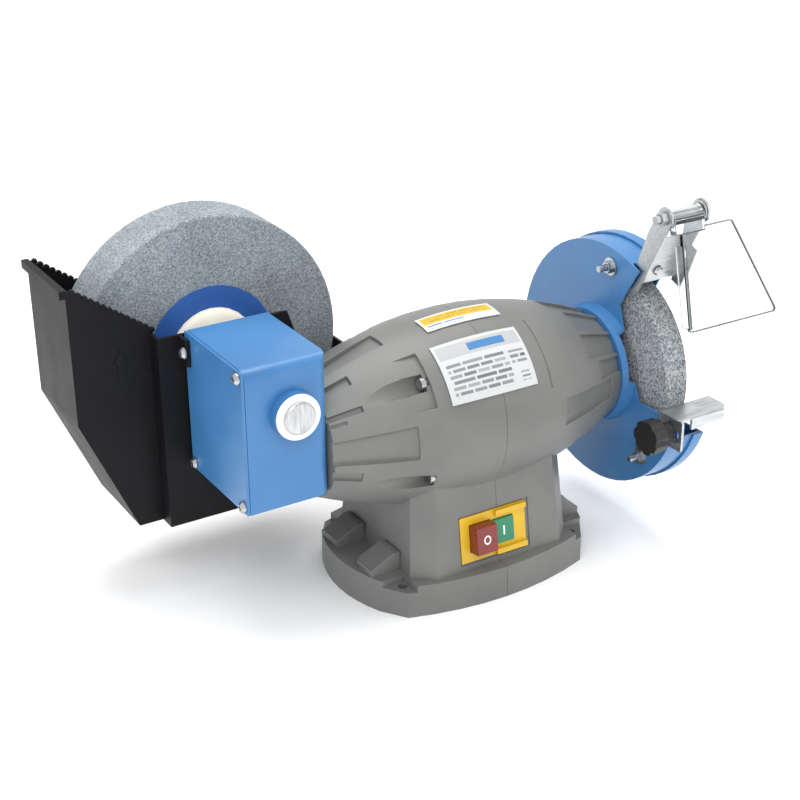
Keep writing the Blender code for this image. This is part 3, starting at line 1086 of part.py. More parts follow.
def make_eye_shield():
    """A clear sheet that hangs from a knuckle on the pivot bolt, with its left edge folded back."""
    frame = Matrix.Translation((BRACKET_X, PIVOT_Y, PIVOT_Z)) @ Matrix.Rotation(-SHIELD_LEAN, 4, "X")
    left = 8 * MM
    top = -9.5 * MM
    right = left + SHIELD_LENGTH
    outline = rounded([(left, -SHIELD_DROP), (right, -SHIELD_DROP), (left + 47 * MM, top), (left, top)],
                      2.5 * MM)
    sheet = plate("eye_shield", outline, -SHIELD_OFFSET - SHIELD_SHEET, -SHIELD_OFFSET, CLEAR, axis="Y",
                  frame=frame)
    knuckle_left = BRACKET_SHEET + MM
    knuckle_right = BRACKET_WIDTH - BRACKET_SHEET - MM
    flange = box("shield_flange", (left, -SHIELD_OFFSET - SHIELD_SHEET, -SHIELD_DROP + 3 * MM),
                 (left + SHIELD_SHEET, SHIELD_FLANGE - SHIELD_OFFSET - SHIELD_SHEET, top - 12 * MM), frame=frame)
    knuckle = rod("shield_knuckle", KNUCKLE_RADIUS, knuckle_left, knuckle_right, sides=24)
    knuckle.matrix_world = frame @ knuckle.matrix_world
    web = box("shield_web", (knuckle_left, -SHIELD_OFFSET - SHIELD_SHEET, top - 3 * MM),
              (knuckle_right, -1.6 * MM, 0), frame=frame)
    join(sheet, flange, knuckle, web)
    cut(sheet, rod("shield_bore", PIVOT_RADIUS + GAP, BRACKET_X - 20 * MM, BRACKET_X + 60 * MM,
                   at=(0, PIVOT_Y, PIVOT_Z), sides=20))
    carry(axis_empty("shield_pivot", (BRACKET_X, PIVOT_Y, PIVOT_Z)), sheet)


# ---------------------------------------------------------------- switch, capacitor and cable gland

def make_switch():
    """A yellow frame in the pedestal's opening, with a proud stop button and a flush start button."""
    bezel_left, half_x, half_z = bezel_edges()
    middle = -2 * MM  # between the two buttons
    reach = BUTTON_WIDTH + GAP
    front, back = GAP, GAP + BEZEL_THICKNESS
    bezel = box("switch_bezel", (bezel_left, front, -half_z), (half_x, back, half_z), YELLOW, frame=SWITCH)
    for low in (0.5 * MM - half_z, half_z - 4.5 * MM):
        join(bezel, box("bezel_rail", (middle + 2 * MM, front - 3 * MM, low),
                        (half_x - 0.5 * MM, front + 1.5 * MM, low + 4 * MM), frame=SWITCH))
    buttons = (("stop_button", middle - reach - MM, STOP_HEIGHT, STOP_PROUD, RED),
               ("start_button", middle, START_HEIGHT, START_PROUD, GREEN))
    for name, left, height, proud, material in buttons:
        low = (left + GAP, -proud, -height / 2)
        high = (left + BUTTON_WIDTH, back + 4 * MM, height / 2)
        cut(bezel, box(f"{name}_hole", (low[0] - GAP, -20 * MM, low[2] - GAP),
                       (high[0] + GAP, 20 * MM, high[2] + GAP), frame=SWITCH))
        button = box(name, low, high, material, frame=SWITCH)
        bevel = button.modifiers.new("edges", "BEVEL")
        bevel.width = 0.8 * MM
        bevel.segments = 2
        centre = SWITCH @ Vector(((low[0] + high[0]) / 2, 0, 0))
        carry(axis_empty(f"{name}_slide", centre), button)
    body_front = back + 4 * MM + BUTTON_TRAVEL + MM
    box("switch_body", (bezel_left + 4 * MM, body_front, -half_z + 3 * MM),
        (half_x - 4 * MM, body_front + SWITCH_DEPTH, half_z - 4 * MM), BLACK, frame=SWITCH)


def make_electrics():
    at = (0, 22 * MM, 26 * MM)
    half = CAPACITOR_LENGTH / 2
    capacitor = turned("capacitor", [(0, -half), (CAPACITOR_RADIUS - MM, -half), (CAPACITOR_RADIUS, MM - half),
                                     (CAPACITOR_RADIUS, half), (CAPACITOR_RADIUS - 5 * MM, half + 3 * MM),
                                     (0, half + 3 * MM)], ALUMINIUM, at=at, segments=28)
    smooth(capacitor)
    flange = GLAND_RADIUS + 3 * MM
    bore = GLAND_RADIUS - 3.5 * MM
    wall = 5 * MM
    gland = turned("cable_gland", [(bore, 12 * MM), (GLAND_RADIUS - MM, 12 * MM), (flange, wall + 3 * MM),
                                   (flange, wall), (GLAND_RADIUS, wall), (GLAND_RADIUS, -6 * MM),
                                   (bore, -6 * MM)], BLACK, axis="Y", at=GLAND_AT, closed=True, segments=28)
    smooth(gland)


make_housing()
make_base_plate()
make_motor()
make_rotor()
make_gearbox()
make_wet_wheel()
make_water_tray()
make_guard()
make_tool_rest()
make_bracket()
make_eye_shield()
make_switch()
make_electrics()
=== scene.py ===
# %% [markdown]
# # Wet and dry bench grinder
# A grinder with two wheels on one motor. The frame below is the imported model, and every step that follows
# gives one part of it the surface or the fine shape that the real part has.

# %% Load the frame
import json
import math

import bmesh
import bpy
from mathutils import Matrix, Vector


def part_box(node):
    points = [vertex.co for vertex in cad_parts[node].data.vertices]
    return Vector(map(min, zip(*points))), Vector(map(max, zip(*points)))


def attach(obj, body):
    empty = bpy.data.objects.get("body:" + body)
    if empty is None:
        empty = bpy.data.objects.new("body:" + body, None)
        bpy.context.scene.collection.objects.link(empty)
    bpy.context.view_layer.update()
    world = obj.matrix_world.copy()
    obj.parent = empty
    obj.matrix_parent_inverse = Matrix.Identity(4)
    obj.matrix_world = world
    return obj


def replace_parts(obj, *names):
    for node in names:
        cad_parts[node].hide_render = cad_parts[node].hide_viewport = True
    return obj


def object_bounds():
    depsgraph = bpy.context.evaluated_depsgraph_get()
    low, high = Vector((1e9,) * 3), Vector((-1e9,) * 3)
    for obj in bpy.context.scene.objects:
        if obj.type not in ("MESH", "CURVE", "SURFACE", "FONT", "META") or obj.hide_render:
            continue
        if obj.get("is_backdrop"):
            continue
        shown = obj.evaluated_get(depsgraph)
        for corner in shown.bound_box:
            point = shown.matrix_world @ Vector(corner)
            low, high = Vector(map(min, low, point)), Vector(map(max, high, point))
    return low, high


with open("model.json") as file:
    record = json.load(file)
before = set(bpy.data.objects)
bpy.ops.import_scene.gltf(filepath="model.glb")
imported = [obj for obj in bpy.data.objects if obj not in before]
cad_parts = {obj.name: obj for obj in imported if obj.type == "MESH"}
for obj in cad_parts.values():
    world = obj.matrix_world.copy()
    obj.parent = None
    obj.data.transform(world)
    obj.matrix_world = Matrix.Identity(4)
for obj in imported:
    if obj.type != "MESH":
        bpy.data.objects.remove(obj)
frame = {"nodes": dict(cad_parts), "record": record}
cad_low, cad_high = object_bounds()
MM = 0.001
print("nodes:", len(frame["nodes"]), "size in mm:", [round(v * 1000) for v in cad_high - cad_low])

# %% [markdown]
# Colours are picked as sRGB hex values, as in any paint program. Shaders work in linear light, so one
# function turns one into the other.

# %% Colour and node helpers


def linear(hexcode):
    """An sRGB hex value as linear red, green, blue, alpha."""
    channels = [int(hexcode[i:i + 2], 16) / 255 for i in (0, 2, 4)]
    return (*[c / 12.92 if c <= 0.04045 else ((c + 0.055) / 1.055) ** 2.4 for c in channels], 1)


def add(tree, kind, settings=None, values=None, links=None):
    """One node: its settings, the values of its sockets, and the sockets that feed it."""
    node = tree.nodes.new(kind)
    for name, value in (settings or {}).items():
        setattr(node, name, value)
    for name, value in (values or {}).items():
        node.inputs[name].default_value = value
    for name, source in (links or {}).items():
        tree.links.new(source, node.inputs[name])
    return node


def start(name, **values):
    """A material with its Principled shader and Object coordinates."""
    made = bpy.data.materials.new(name)
    made.use_nodes = True
    tree = made.node_tree
    shader = tree.nodes["Principled BSDF"]
    for socket, value in values.items():
        shader.inputs[socket.replace("_", " ")].default_value = value
    where = add(tree, "ShaderNodeTexCoord").outputs["Object"]
    return made, tree, shader, where


def two_tones(tree, where, scale, dark, light, detail=3.0):
    """Noise of that many cells per metre, as a colour between two hex values."""
    noise = add(tree, "ShaderNodeTexNoise", None, {"Scale": scale, "Detail": detail}, {"Vector": where})
    ramp = add(tree, "ShaderNodeValToRGB", None, None, {"Fac": noise.outputs["Fac"]})
    ramp.color_ramp.elements[0].position, ramp.color_ramp.elements[1].position = 0.35, 0.65
    ramp.color_ramp.elements[0].color, ramp.color_ramp.elements[1].color = linear(dark), linear(light)
    return noise.outputs["Fac"], ramp.outputs["Color"]


def rough_from(tree, shader, fac, low, high):
    """Roughness between low and high, from a noise."""
    spread = add(tree, "ShaderNodeMapRange", None,
                 {"From Min": 0.3, "From Max": 0.7, "To Min": low, "To Max": high}, {"Value": fac})
    tree.links.new(spread.outputs["Result"], shader.inputs["Roughness"])


def bump_from(tree, shader, height, depth):
    """Bump of that depth in metres."""
    bump = add(tree, "ShaderNodeBump", None, {"Strength": 1.0, "Distance": depth}, {"Height": height})
    tree.links.new(bump.outputs["Normal"], shader.inputs["Normal"])


# %% [markdown]
# ## Paint on castings
# The motor housing is a light-alloy casting, sprayed with satin grey paint. Spray leaves a fine orange peel,
# with bumps about 1 mm apart, and the casting under it is never quite even. So the paint has two noises: a
# broad, faint one for tone and a fine, shallow one for the peel.

# %% Grey and blue paint


def sprayed(name, dark, light, roughness, peel, coat=0.0):
    made, tree, shader, where = start(name, IOR=1.5, Coat_Weight=coat, Coat_Roughness=0.15)
    broad, colour = two_tones(tree, where, 18, dark, light)
    tree.links.new(colour, shader.inputs["Base Color"])
    rough_from(tree, shader, broad, roughness - 0.05, roughness + 0.06)
    fine = add(tree, "ShaderNodeTexNoise", None, {"Scale": 900.0, "Detail": 2.0}, {"Vector": where})
    bump_from(tree, shader, fine.outputs["Fac"], peel)
    return made


grey_paint = sprayed("grey_satin_paint", "676866", "71726F", 0.42, 0.00008)
blue_paint = sprayed("blue_enamel", "366FA6", "3E79B0", 0.34, 0.00005, coat=0.1)
print("paints:", grey_paint.name, blue_paint.name)

# %% [markdown]
# ## Moulded plastic
# The tray, knob, bush, flange and buttons are injection moulded. A spark-eroded mould leaves an even, fine
# grain, about 0.4 mm across, and hides any flow marks.

# %% Plastics


def moulded(name, dark, light, roughness, grain, gloss=0.5):
    made, tree, shader, where = start(name, IOR=1.53, Specular_IOR_Level=gloss)
    broad, colour = two_tones(tree, where, 30, dark, light)
    tree.links.new(colour, shader.inputs["Base Color"])
    rough_from(tree, shader, broad, roughness - 0.05, roughness + 0.05)
    pits = add(tree, "ShaderNodeTexVoronoi", None, {"Scale": 2500.0}, {"Vector": where})
    bump_from(tree, shader, pits.outputs["Distance"], grain)
    return made


black_abs = moulded("black_abs", "0B0B0E", "111115", 0.52, 0.00006, gloss=0.18)
knob_black = moulded("black_phenolic", "0E0E10", "151517", 0.38, 0.00002)
white_nylon = moulded("white_nylon", "E9EAEA", "F3F3F2", 0.35, 0.00001)
cream_abs = moulded("cream_abs", "EFE9D8", "F6F1E2", 0.45, 0.00003)
yellow_abs = moulded("yellow_abs", "CDA312", "D8B01C", 0.32, 0.00001)
red_abs = moulded("red_abs", "742521", "822C28", 0.28, 0.00001)
green_abs = moulded("green_abs", "1B7453", "21805B", 0.28, 0.00001)
mark_white = moulded("white_marking_ink", "ECECEA", "F6F6F4", 0.5, 0.00001)
print("plastics made")

# %% [markdown]
# ## Steel and zinc
# Screws and shafts are turned steel, with fine rings round their axis. The rest and the bracket are folded
# from zinc-plated sheet, which is brighter, with a faint rolling grain along its length.

# %% Metals


def plated(name, dark, light, roughness, stretch, marks=0.00002):
    """Metal with a grain: stretch gives the grain's size along X, Y and Z."""
    made, tree, shader, where = start(name, Metallic=1.0)
    grain = add(tree, "ShaderNodeMapping", None, {"Scale": stretch}, {"Vector": where})
    broad, colour = two_tones(tree, grain.outputs["Vector"], 60, dark, light, detail=6.0)
    tree.links.new(colour, shader.inputs["Base Color"])
    rough_from(tree, shader, broad, roughness - 0.08, roughness + 0.1)
    bump_from(tree, shader, broad, marks)
    return made


turned_steel = plated("turned_steel", "A9ABAD", "C9CBCD", 0.28, (6, 1, 1))
zinc_sheet = plated("zinc_plated_sheet", "B4B7B8", "CDD0D1", 0.34, (1, 6, 6))
zinc_screw = plated("zinc_plated_screw", "A5A7AA", "C8CACC", 0.3, (1, 1, 1))
cast_alloy = plated("cast_aluminium", "A0A2A4", "B4B6B8", 0.42, (1, 1, 1), 0.00008)
iron_stack = plated("stacked_laminations", "4C4D50", "77787C", 0.5, (40, 1, 1), 0.0001)
worm_bronze = plated("cut_bronze", "96743A", "B08A48", 0.34, (1, 1, 1))
copper_wire = plated("varnished_copper", "8A3F1C", "B45A2A", 0.38, (1, 30, 30), 0.0002)
print("metals made")

# %% [markdown]
# ## Grinding stones
# A grinding wheel is abrasive grain in a glassy bond. The dry wheel is coarse, grit 60, with grains about
# 0.3 mm across. The wet wheel is fine, grit 220. Grains that small can't be told apart from a metre away, so
# both are drawn coarser than they are: light grains on a darker bond, with pits between them.

# %% Stones


def stone(name, bond, grain, cells, pit):
    made, tree, shader, where = start(name, Roughness=0.92, IOR=1.6)
    grit = add(tree, "ShaderNodeTexVoronoi", {"feature": "F1"}, {"Scale": cells, "Randomness": 1.0},
               {"Vector": where})
    speck = add(tree, "ShaderNodeSeparateColor", None, None, {"Color": grit.outputs["Color"]})
    ramp = add(tree, "ShaderNodeValToRGB", None, None, {"Fac": speck.outputs["Red"]})
    ramp.color_ramp.elements[0].color, ramp.color_ramp.elements[1].color = linear(bond), linear(grain)
    wash = two_tones(tree, where, 25, "E6E6E6", "FFFFFF")[1]
    mixed = add(tree, "ShaderNodeMix", {"data_type": "RGBA", "blend_type": "MULTIPLY"}, {"Factor": 1.0})
    tree.links.new(ramp.outputs["Color"], mixed.inputs["A"])
    tree.links.new(wash, mixed.inputs["B"])
    tree.links.new(mixed.outputs["Result"], shader.inputs["Base Color"])
    bump_from(tree, shader, grit.outputs["Distance"], pit)
    return made


wet_stone = stone("vitrified_wet_stone", "656E76", "A9B1B7", 1300.0, 0.0002)
dry_stone = stone("vitrified_dry_stone", "565C61", "B4B9BC", 900.0, 0.0004)
print("stones:", wet_stone.name, dry_stone.name)

# %% [markdown]
# ## Clear shield and labels
# The eye shield is clear polycarbonate, 3 mm thick: IOR 1.585, almost no tint, and faint wipe marks that
# show only in its gloss. The labels are printed film. Print this small is not read from a step away, so they
# carry plain bars and panels and no words.

# %% Polycarbonate and film

clear_pc, tree, shader, where = start("clear_polycarbonate", IOR=1.585, Roughness=0.03,
                                      Transmission_Weight=1.0)
shader.inputs["Base Color"].default_value = linear("F1F4F5")
wipes = add(tree, "ShaderNodeTexNoise", None, {"Scale": 40.0, "Detail": 4.0}, {"Vector": where})
rough_from(tree, shader, wipes.outputs["Fac"], 0.015, 0.07)

# Opaque grey for the sawn edges of the shield: their grey is painted shade for the dark line of a clear edge
sawn_edge_painted_shade = moulded("sawn_polycarbonate_painted_shade", "6F7579", "858B8F", 0.5, 0.00002)
disc_blue = moulded("blue_printed_paper", "2458A4", "2C62B0", 0.6, 0.00001)


def number(tree, operation, first, second, third=None):
    """One step of arithmetic on a socket or a number."""
    step = add(tree, "ShaderNodeMath", {"operation": operation})
    for place, value in enumerate((first, second, third)):
        if isinstance(value, (int, float)):
            step.inputs[place].default_value = value
        elif value is not None:
            tree.links.new(value, step.inputs[place])
    return step.outputs["Value"]


def printed(name, film, panels, motor_height):
    """Film wrapped round the motor, with panels: left, right and both angles in millimetres and degrees, and
    an ink. A panel given as lines is broken into short bars, as print is seen from a step away."""
    made, tree, shader, where = start(name, Roughness=0.42, IOR=1.5)
    x, y, z = add(tree, "ShaderNodeSeparateXYZ", None, None, {"Vector": where}).outputs
    across = number(tree, "MULTIPLY", x, 1000)
    down = number(tree, "MULTIPLY", number(tree, "ARCTAN2", number(tree, "MULTIPLY", y, -1),
                                           number(tree, "SUBTRACT", z, motor_height)), 180 / math.pi)
    broad, colour = two_tones(tree, where, 40, film, film)
    flat = add(tree, "ShaderNodeCombineXYZ", None, None, {"X": across, "Y": down}).outputs["Vector"]
    for left, right, top, bottom, ink, lines in panels:
        inside = number(tree, "MULTIPLY",
                        number(tree, "COMPARE", across, (left + right) / 2, (right - left) / 2),
                        number(tree, "COMPARE", down, (top + bottom) / 2, (bottom - top) / 2))
        if lines:
            bars = add(tree, "ShaderNodeTexBrick", {"offset": 0.37, "squash": 1.6, "squash_frequency": 3},
                       {"Scale": 1.0, "Mortar Size": 0.75, "Brick Width": 11.0, "Row Height": lines,
                        "Mortar Smooth": 0.0, "Color1": (1, 1, 1, 1), "Color2": (0.5, 0.5, 0.5, 1),
                        "Mortar": (0, 0, 0, 1)}, {"Vector": flat})
            inside = number(tree, "MULTIPLY", inside, bars.outputs["Color"])
        # The mix's colours are its inputs 6 and 7 and its output 2.
        mixed = add(tree, "ShaderNodeMix", {"data_type": "RGBA"}, None, {"Factor": inside})
        tree.links.new(colour, mixed.inputs[6])
        mixed.inputs[7].default_value = linear(ink)
        colour = mixed.outputs[2]
    tree.links.new(colour, shader.inputs["Base Color"])
    rough_from(tree, shader, broad, 0.36, 0.48)
    return made


MOTOR_Z = (Vector(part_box("motor_shaft")[0]).z + Vector(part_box("motor_shaft")[1]).z) / 2
rating_film = printed("silver_rating_film", "BFC2C3", (
    (-38, 28, 29, 38, "A9ACAD", 0), (-14, 16, 31, 36, "3C74A8", 0), (-36, 12, 40.5, 62, "63676A", 3.4),
    (14, 27, 42, 50, "54585B", 3.4), (18, 26, 54, 61, "63676A", 2.6)), MOTOR_Z)
caution_film = printed("white_and_yellow_film", "C9CCCD", (
    (-31, 26, 1.5, 9.2, "C4A20C", 0), (-27, 22, 2.5, 8.2, "94741A", 2.6),
    (-30, 0, 10.5, 13.6, "3C6FA8", 3.1)), MOTOR_Z)
print("film made, motor axis at", round(MOTOR_Z * 1000, 1), "mm")

# %% [markdown]
# ## From frame to finished surface
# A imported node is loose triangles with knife-sharp corners. A real casting or pressing has small radii on
# every edge, and they catch the light. So each visible node is copied, its triangles are merged back into
# whole faces, its edges are bevelled by the radius that the process leaves, and its round faces are shaded
# smooth. The copy then stands for the node and rides on the node's body.

# %% Helpers for pieces
SMOOTH_UNDER = math.radians(35)  # a fold sharper than this is an edge
home = {node: body for body, nodes in frame["record"]["behaviour"]["bodies"].items() for node in nodes}


def only(obj):
    """Leaves this object alone selected and active."""
    if bpy.context.object and bpy.context.object.mode != "OBJECT":
        bpy.ops.object.mode_set(mode="OBJECT")
    bpy.ops.object.select_all(action="DESELECT")
    obj.select_set(True)
    bpy.context.view_layer.objects.active = obj
    return obj


def applied(obj, kind, **settings):
    """Adds a modifier and applies it."""
    only(obj)
    step = obj.modifiers.new(kind.lower(), kind)
    for name, value in settings.items():
        setattr(step, name, value)
    bpy.ops.object.modifier_apply(modifier=step.name)
    return obj


def finished(obj, material, body):
    """Applies the place, shades round faces smooth, and gives the piece its material and its body. Normals
    are weighted by area, so that a broad flat face stays flat up to its rounded edge."""
    only(obj)
    bpy.ops.object.transform_apply(location=True, rotation=True, scale=True)
    bpy.ops.object.shade_smooth_by_angle(angle=SMOOTH_UNDER)
    applied(obj, "WEIGHTED_NORMAL", keep_sharp=True, weight=80)
    obj.data.materials.clear()
    obj.data.materials.append(material)
    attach(obj, body)
    return obj


def merged(obj):
    """Merges doubles and dissolves the edges that lie inside flat faces."""
    only(obj)
    bpy.ops.mesh.customdata_custom_splitnormals_clear()
    bpy.ops.object.mode_set(mode="EDIT")
    bpy.ops.mesh.select_all(action="SELECT")
    bpy.ops.mesh.remove_doubles(threshold=0.00002)
    bpy.ops.mesh.dissolve_limited(angle_limit=math.radians(0.3))
    bpy.ops.object.mode_set(mode="OBJECT")
    return obj


def skin(node, material, radius, cutters=(), sunk=()):
    """A finished copy of a node, with its edges rounded by that many millimetres. Cutters come before the
    rounding, and what is sunk comes after it."""
    source = frame["nodes"][node]
    copy = bpy.data.objects.new(node + "_skin", source.data.copy())
    bpy.context.scene.collection.objects.link(copy)
    copy.matrix_world = source.matrix_world
    merged(copy)
    for cutter in cutters:
        applied(copy, "BOOLEAN", operation="DIFFERENCE", object=cutter)
    if radius:
        applied(copy, "BEVEL", width=radius * MM, segments=2, limit_method="ANGLE",
                angle_limit=SMOOTH_UNDER, use_clamp_overlap=True)
    for cutter in sunk:
        applied(copy, "BOOLEAN", operation="DIFFERENCE", object=cutter)
    if sunk:
        applied(copy, "BEVEL", width=0.3 * MM, segments=1, limit_method="ANGLE",
                angle_limit=math.radians(50), use_clamp_overlap=False)
    finished(copy, material, home[node])
    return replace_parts(copy, node)


def block(name, low, high):
    """A cube stretched between two corners."""
    centre = [(a + b) / 2 for a, b in zip(low, high)]
    bpy.ops.mesh.primitive_cube_add(size=1, location=centre)
    obj = only(bpy.context.object)
    obj.name = name
    obj.scale = [b - a for a, b in zip(low, high)]
    bpy.ops.object.transform_apply(location=True, rotation=True, scale=True)
    return obj


def disc(name, radius, depth, place, turn, sides):
    """A cylinder of that radius and depth, turned about the axes."""
    bpy.ops.mesh.primitive_cylinder_add(radius=radius, depth=depth, location=place, rotation=turn,
                                        vertices=sides)
    obj = only(bpy.context.object)
    obj.name = name
    return obj


ALONG_X, ALONG_Y = (0, math.pi / 2, 0), (math.pi / 2, 0, 0)


def middle(node):
    low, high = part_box(node)
    return (Vector(low) + Vector(high)) / 2


# %% [markdown]
# ## Every node gets its finish
# The table names each visible node's material and the radius of its edges in millimetres: about 1 mm on a
# sand-cast or moulded edge, 0.3 mm on sheared sheet, and 0.2 mm on turned steel.

# %% Skins of the visible nodes
for node, material, radius in (
        ("gearbox_housing", blue_paint, 0.8), ("gearbox_cover", blue_paint, 0.4),
        ("front_bush", white_nylon, 0.6), ("rear_bush", white_nylon, 0.3),
        ("output_shaft", turned_steel, 0.3), ("water_tray", black_abs, 0.5), ("wet_wheel", wet_stone, 0.8),
        ("wet_flange_front", cream_abs, 0.5), ("wet_flange_rear", zinc_sheet, 0.3),
        ("wet_nut", zinc_screw, 0.5),
        ("guard_shell", blue_paint, 0.3), ("guard_cover", blue_paint, 0.4), ("dry_wheel", dry_stone, 0.5),
        ("dry_flange_inner", zinc_sheet, 0.3), ("dry_flange_outer", zinc_sheet, 0.3),
        ("dry_nut", zinc_screw, 0.5), ("motor_shaft", turned_steel, 0.2), ("tool_rest", zinc_sheet, 0.3),
        ("rest_bolt", zinc_screw, 0.2),
        ("rest_knob", knob_black, 0.6), ("shield_bracket", zinc_sheet, 0.3), ("pivot_nut", zinc_screw, 0.3),
        ("pivot_bolt", zinc_screw, 0.2), ("eye_shield", clear_pc, 0.7), ("switch_bezel", yellow_abs, 0.4),
        ("stop_button", red_abs, 0), ("start_button", green_abs, 0), ("cable_gland", knob_black, 0.4),
        ("nameplate", rating_film, 0.1), ("warning_label", caution_film, 0.1), ("wheel_label", disc_blue, 0)):
    skin(node, material, radius)

# %% [markdown]
# Pan-head screws have a cross recess, which is what tells the eye that they are screws. It is cut by two
# thin blocks, a third of the head across.

# %% Screw heads


def cross_recess(node, outward):
    """Two crossed blocks sunk in a screw's head, whose face looks along X by that sign."""
    low, high = (Vector(c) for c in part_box(node))
    centre = (low + high) / 2
    top = high.x if outward > 0 else low.x
    reach, half, depth = (high.y - low.y) * 0.3, 0.5 * MM, 1.6 * MM
    made = []
    for across, up in ((reach, half), (half, reach)):
        ends = sorted((top - outward * depth, top + outward * MM))
        made.append(block("recess", (ends[0], centre.y - across, centre.z - up),
                          (ends[1], centre.y + across, centre.z + up)))
    return made


for node, outward in (("gearbox_screw_1", -1), ("gearbox_screw_2", -1), ("gearbox_screw_3", -1),
                      ("gearbox_screw_4", -1), ("tray_screw", 1), ("guard_bolt_1", 1), ("guard_bolt_2", 1),
                      ("guard_bolt_3", 1)):
    cutters = cross_recess(node, outward)
    skin(node, zinc_screw, 0.15, cutters=cutters)
    for cutter in cutters:
        bpy.data.objects.remove(cutter)
for node in ("housing_screw_1", "housing_screw_2", "housing_screw_3", "housing_screw_4", "bracket_screw",
             "guard_nut_1", "guard_nut_2", "guard_nut_3"):
    skin(node, zinc_screw, 0.2)
print("screws done")

# %% [markdown]
# ## The motor's casting
# The two halves of the housing are castings with shallow bays, ribs and steps, which stiffen a thin wall. A
# bay is a strip of the barrel sunk by 2 or 3 mm. Each one is cut with a sector: a flat quad in the plane of
# the motor's axis, spun round that axis. The back of the casting mirrors the front.

# %% Sectors round the motor's axis
CROWN = 69.5  # the barrel's radius in mm at its middle
BOW = 0.001863  # how that radius falls, times the distance squared
ABOVE = -6  # how far a cutter stands out of the barrel, as a depth in mm
SPAN = 5  # degrees that one step of the spin turns


def sector(left, right, first, last, left_depth, right_depth):
    """A cutter between two places along X in mm and two angles in degrees, from the top towards the front."""
    bpy.ops.mesh.primitive_plane_add(size=1)
    obj = only(bpy.context.object)
    obj.name = "sector"
    angle = math.radians(first)
    corners = [(x, CROWN - BOW * x * x - depth) for x, depth in
               ((left, left_depth), (right, right_depth), (left, ABOVE), (right, ABOVE))]
    for vertex, (x, radius) in zip(obj.data.vertices, corners):
        vertex.co = (x * MM, -radius * MM * math.sin(angle), MOTOR_Z + radius * MM * math.cos(angle))
    bpy.ops.object.mode_set(mode="EDIT")
    bpy.ops.mesh.select_all(action="SELECT")
    bpy.ops.mesh.spin(steps=max(2, round((last - first) / SPAN)), angle=math.radians(last - first),
                      center=(0, 0, MOTOR_Z), axis=(-1, 0, 0))
    bpy.ops.mesh.select_all(action="SELECT")
    bpy.ops.mesh.remove_doubles(threshold=0.00001)
    bpy.ops.mesh.normals_make_consistent(inside=False)
    bpy.ops.object.mode_set(mode="OBJECT")
    return obj


left_bays = [(-125, -64, -9, 9, 2.8, 2.8)]
right_bays = [(76, 125, -9, 9, 2, 2)]
for side in (1, -1):
    for bay in ((-125, -98, 20, 29, 3.3, 3.3), (-125, -98, 48, 53, 3.3, 3.3), (-123, -110, 56, 59, 2, 2),
                (-125, -66, 72, 95, 2.4, 2.4), (-123, -103, 103, 112, 2.4, 2.4),
                (-74, -50, 26, 64, -1, 3.1)):
        left_bays.append((*bay[:2], *sorted((side * bay[2], side * bay[3])), *bay[4:]))
    for bay in ((42.4, 43.6, 22, 70, 1, 1), (87, 125, 13, 34, 2.1, 2.1), (87, 125, 38, 58, 2.1, 2.1),
                (97, 125, 62, 77, 2.1, 2.1), (56, 108, 80, 99, 2, 2)):
        right_bays.append((*bay[:2], *sorted((side * bay[2], side * bay[3])), *bay[4:]))
print("bays:", len(left_bays), "and", len(right_bays))

# %% [markdown]
# The lugs at the ends of the base are cast with a slope, so that they leave the mould. A turned block takes
# the outer top edge off each one.

# %% Both halves of the housing
LUG_MIDDLE, LUG_HALF = 0.026, 0.014  # along Y: where each lug's middle is, and half of what the cutter spans
SLOPE = math.radians(26)
SLOPE_X, SLOPE_Z = 0.0745, 0.0382  # the line that the slope turns about


def slope(side, back):
    """A block turned about Y that takes the outer top edge off a lug, clear of the pedestal's wall."""
    near, far = sorted((-side * 0.003, side * 0.03))
    lug = back * LUG_MIDDLE
    cutter = block("slope", (near, lug - LUG_HALF, 0), (far, lug + LUG_HALF, 0.02))
    cutter.rotation_euler = (0, side * SLOPE, 0)
    cutter.location = (side * SLOPE_X, 0, SLOPE_Z)
    bpy.context.view_layer.update()
    return cutter


for node, bays, side in (("housing_left", left_bays, -1), ("housing_right", right_bays, 1)):
    sunk = [sector(*bay) for bay in bays] + [slope(side, back) for back in (-1, 1)]
    made = skin(node, grey_paint, 0.9, sunk=sunk)
    for cutter in sunk:
        bpy.data.objects.remove(cutter)
    shape = bmesh.new()
    shape.from_mesh(made.data)
    loose = sum(not edge.is_manifold for edge in shape.edges)
    print(node, "faces:", len(shape.faces), "open edges:", loose)
    shape.free()

# %% [markdown]
# ## Clear sheet, seen by its edges
# A clear sheet shows mostly by its sawn edges, which scatter light and look grey. Their matte finish is real,
# and their grey colour is painted shade for the dark line that a clear edge shows. So the narrow faces of the
# eye shield take this sawn grey with painted shade, and the broad ones stay clear.

# %% Sawn edges of the eye shield, with painted shade
SAWN_AREA, HINGE_FOOT = 0.00026, 0.25  # sawn faces are smaller than this, and lie below the hinge
BROAD_AREA = 0.003
shield = bpy.data.objects["eye_shield_skin"]
# The narrow faces below the hinge get the opaque grey: painted shade for the edge's dark line
shield.data.materials.append(sawn_edge_painted_shade)
broadest = max(shield.data.polygons, key=lambda face: face.area).normal.copy()
for face in shield.data.polygons:
    if abs(face.normal.dot(broadest)) < 0.9 and face.area < SAWN_AREA and face.center.z < HINGE_FOOT:
        face.material_index = 1
print("sawn faces:", sum(face.material_index for face in shield.data.polygons))
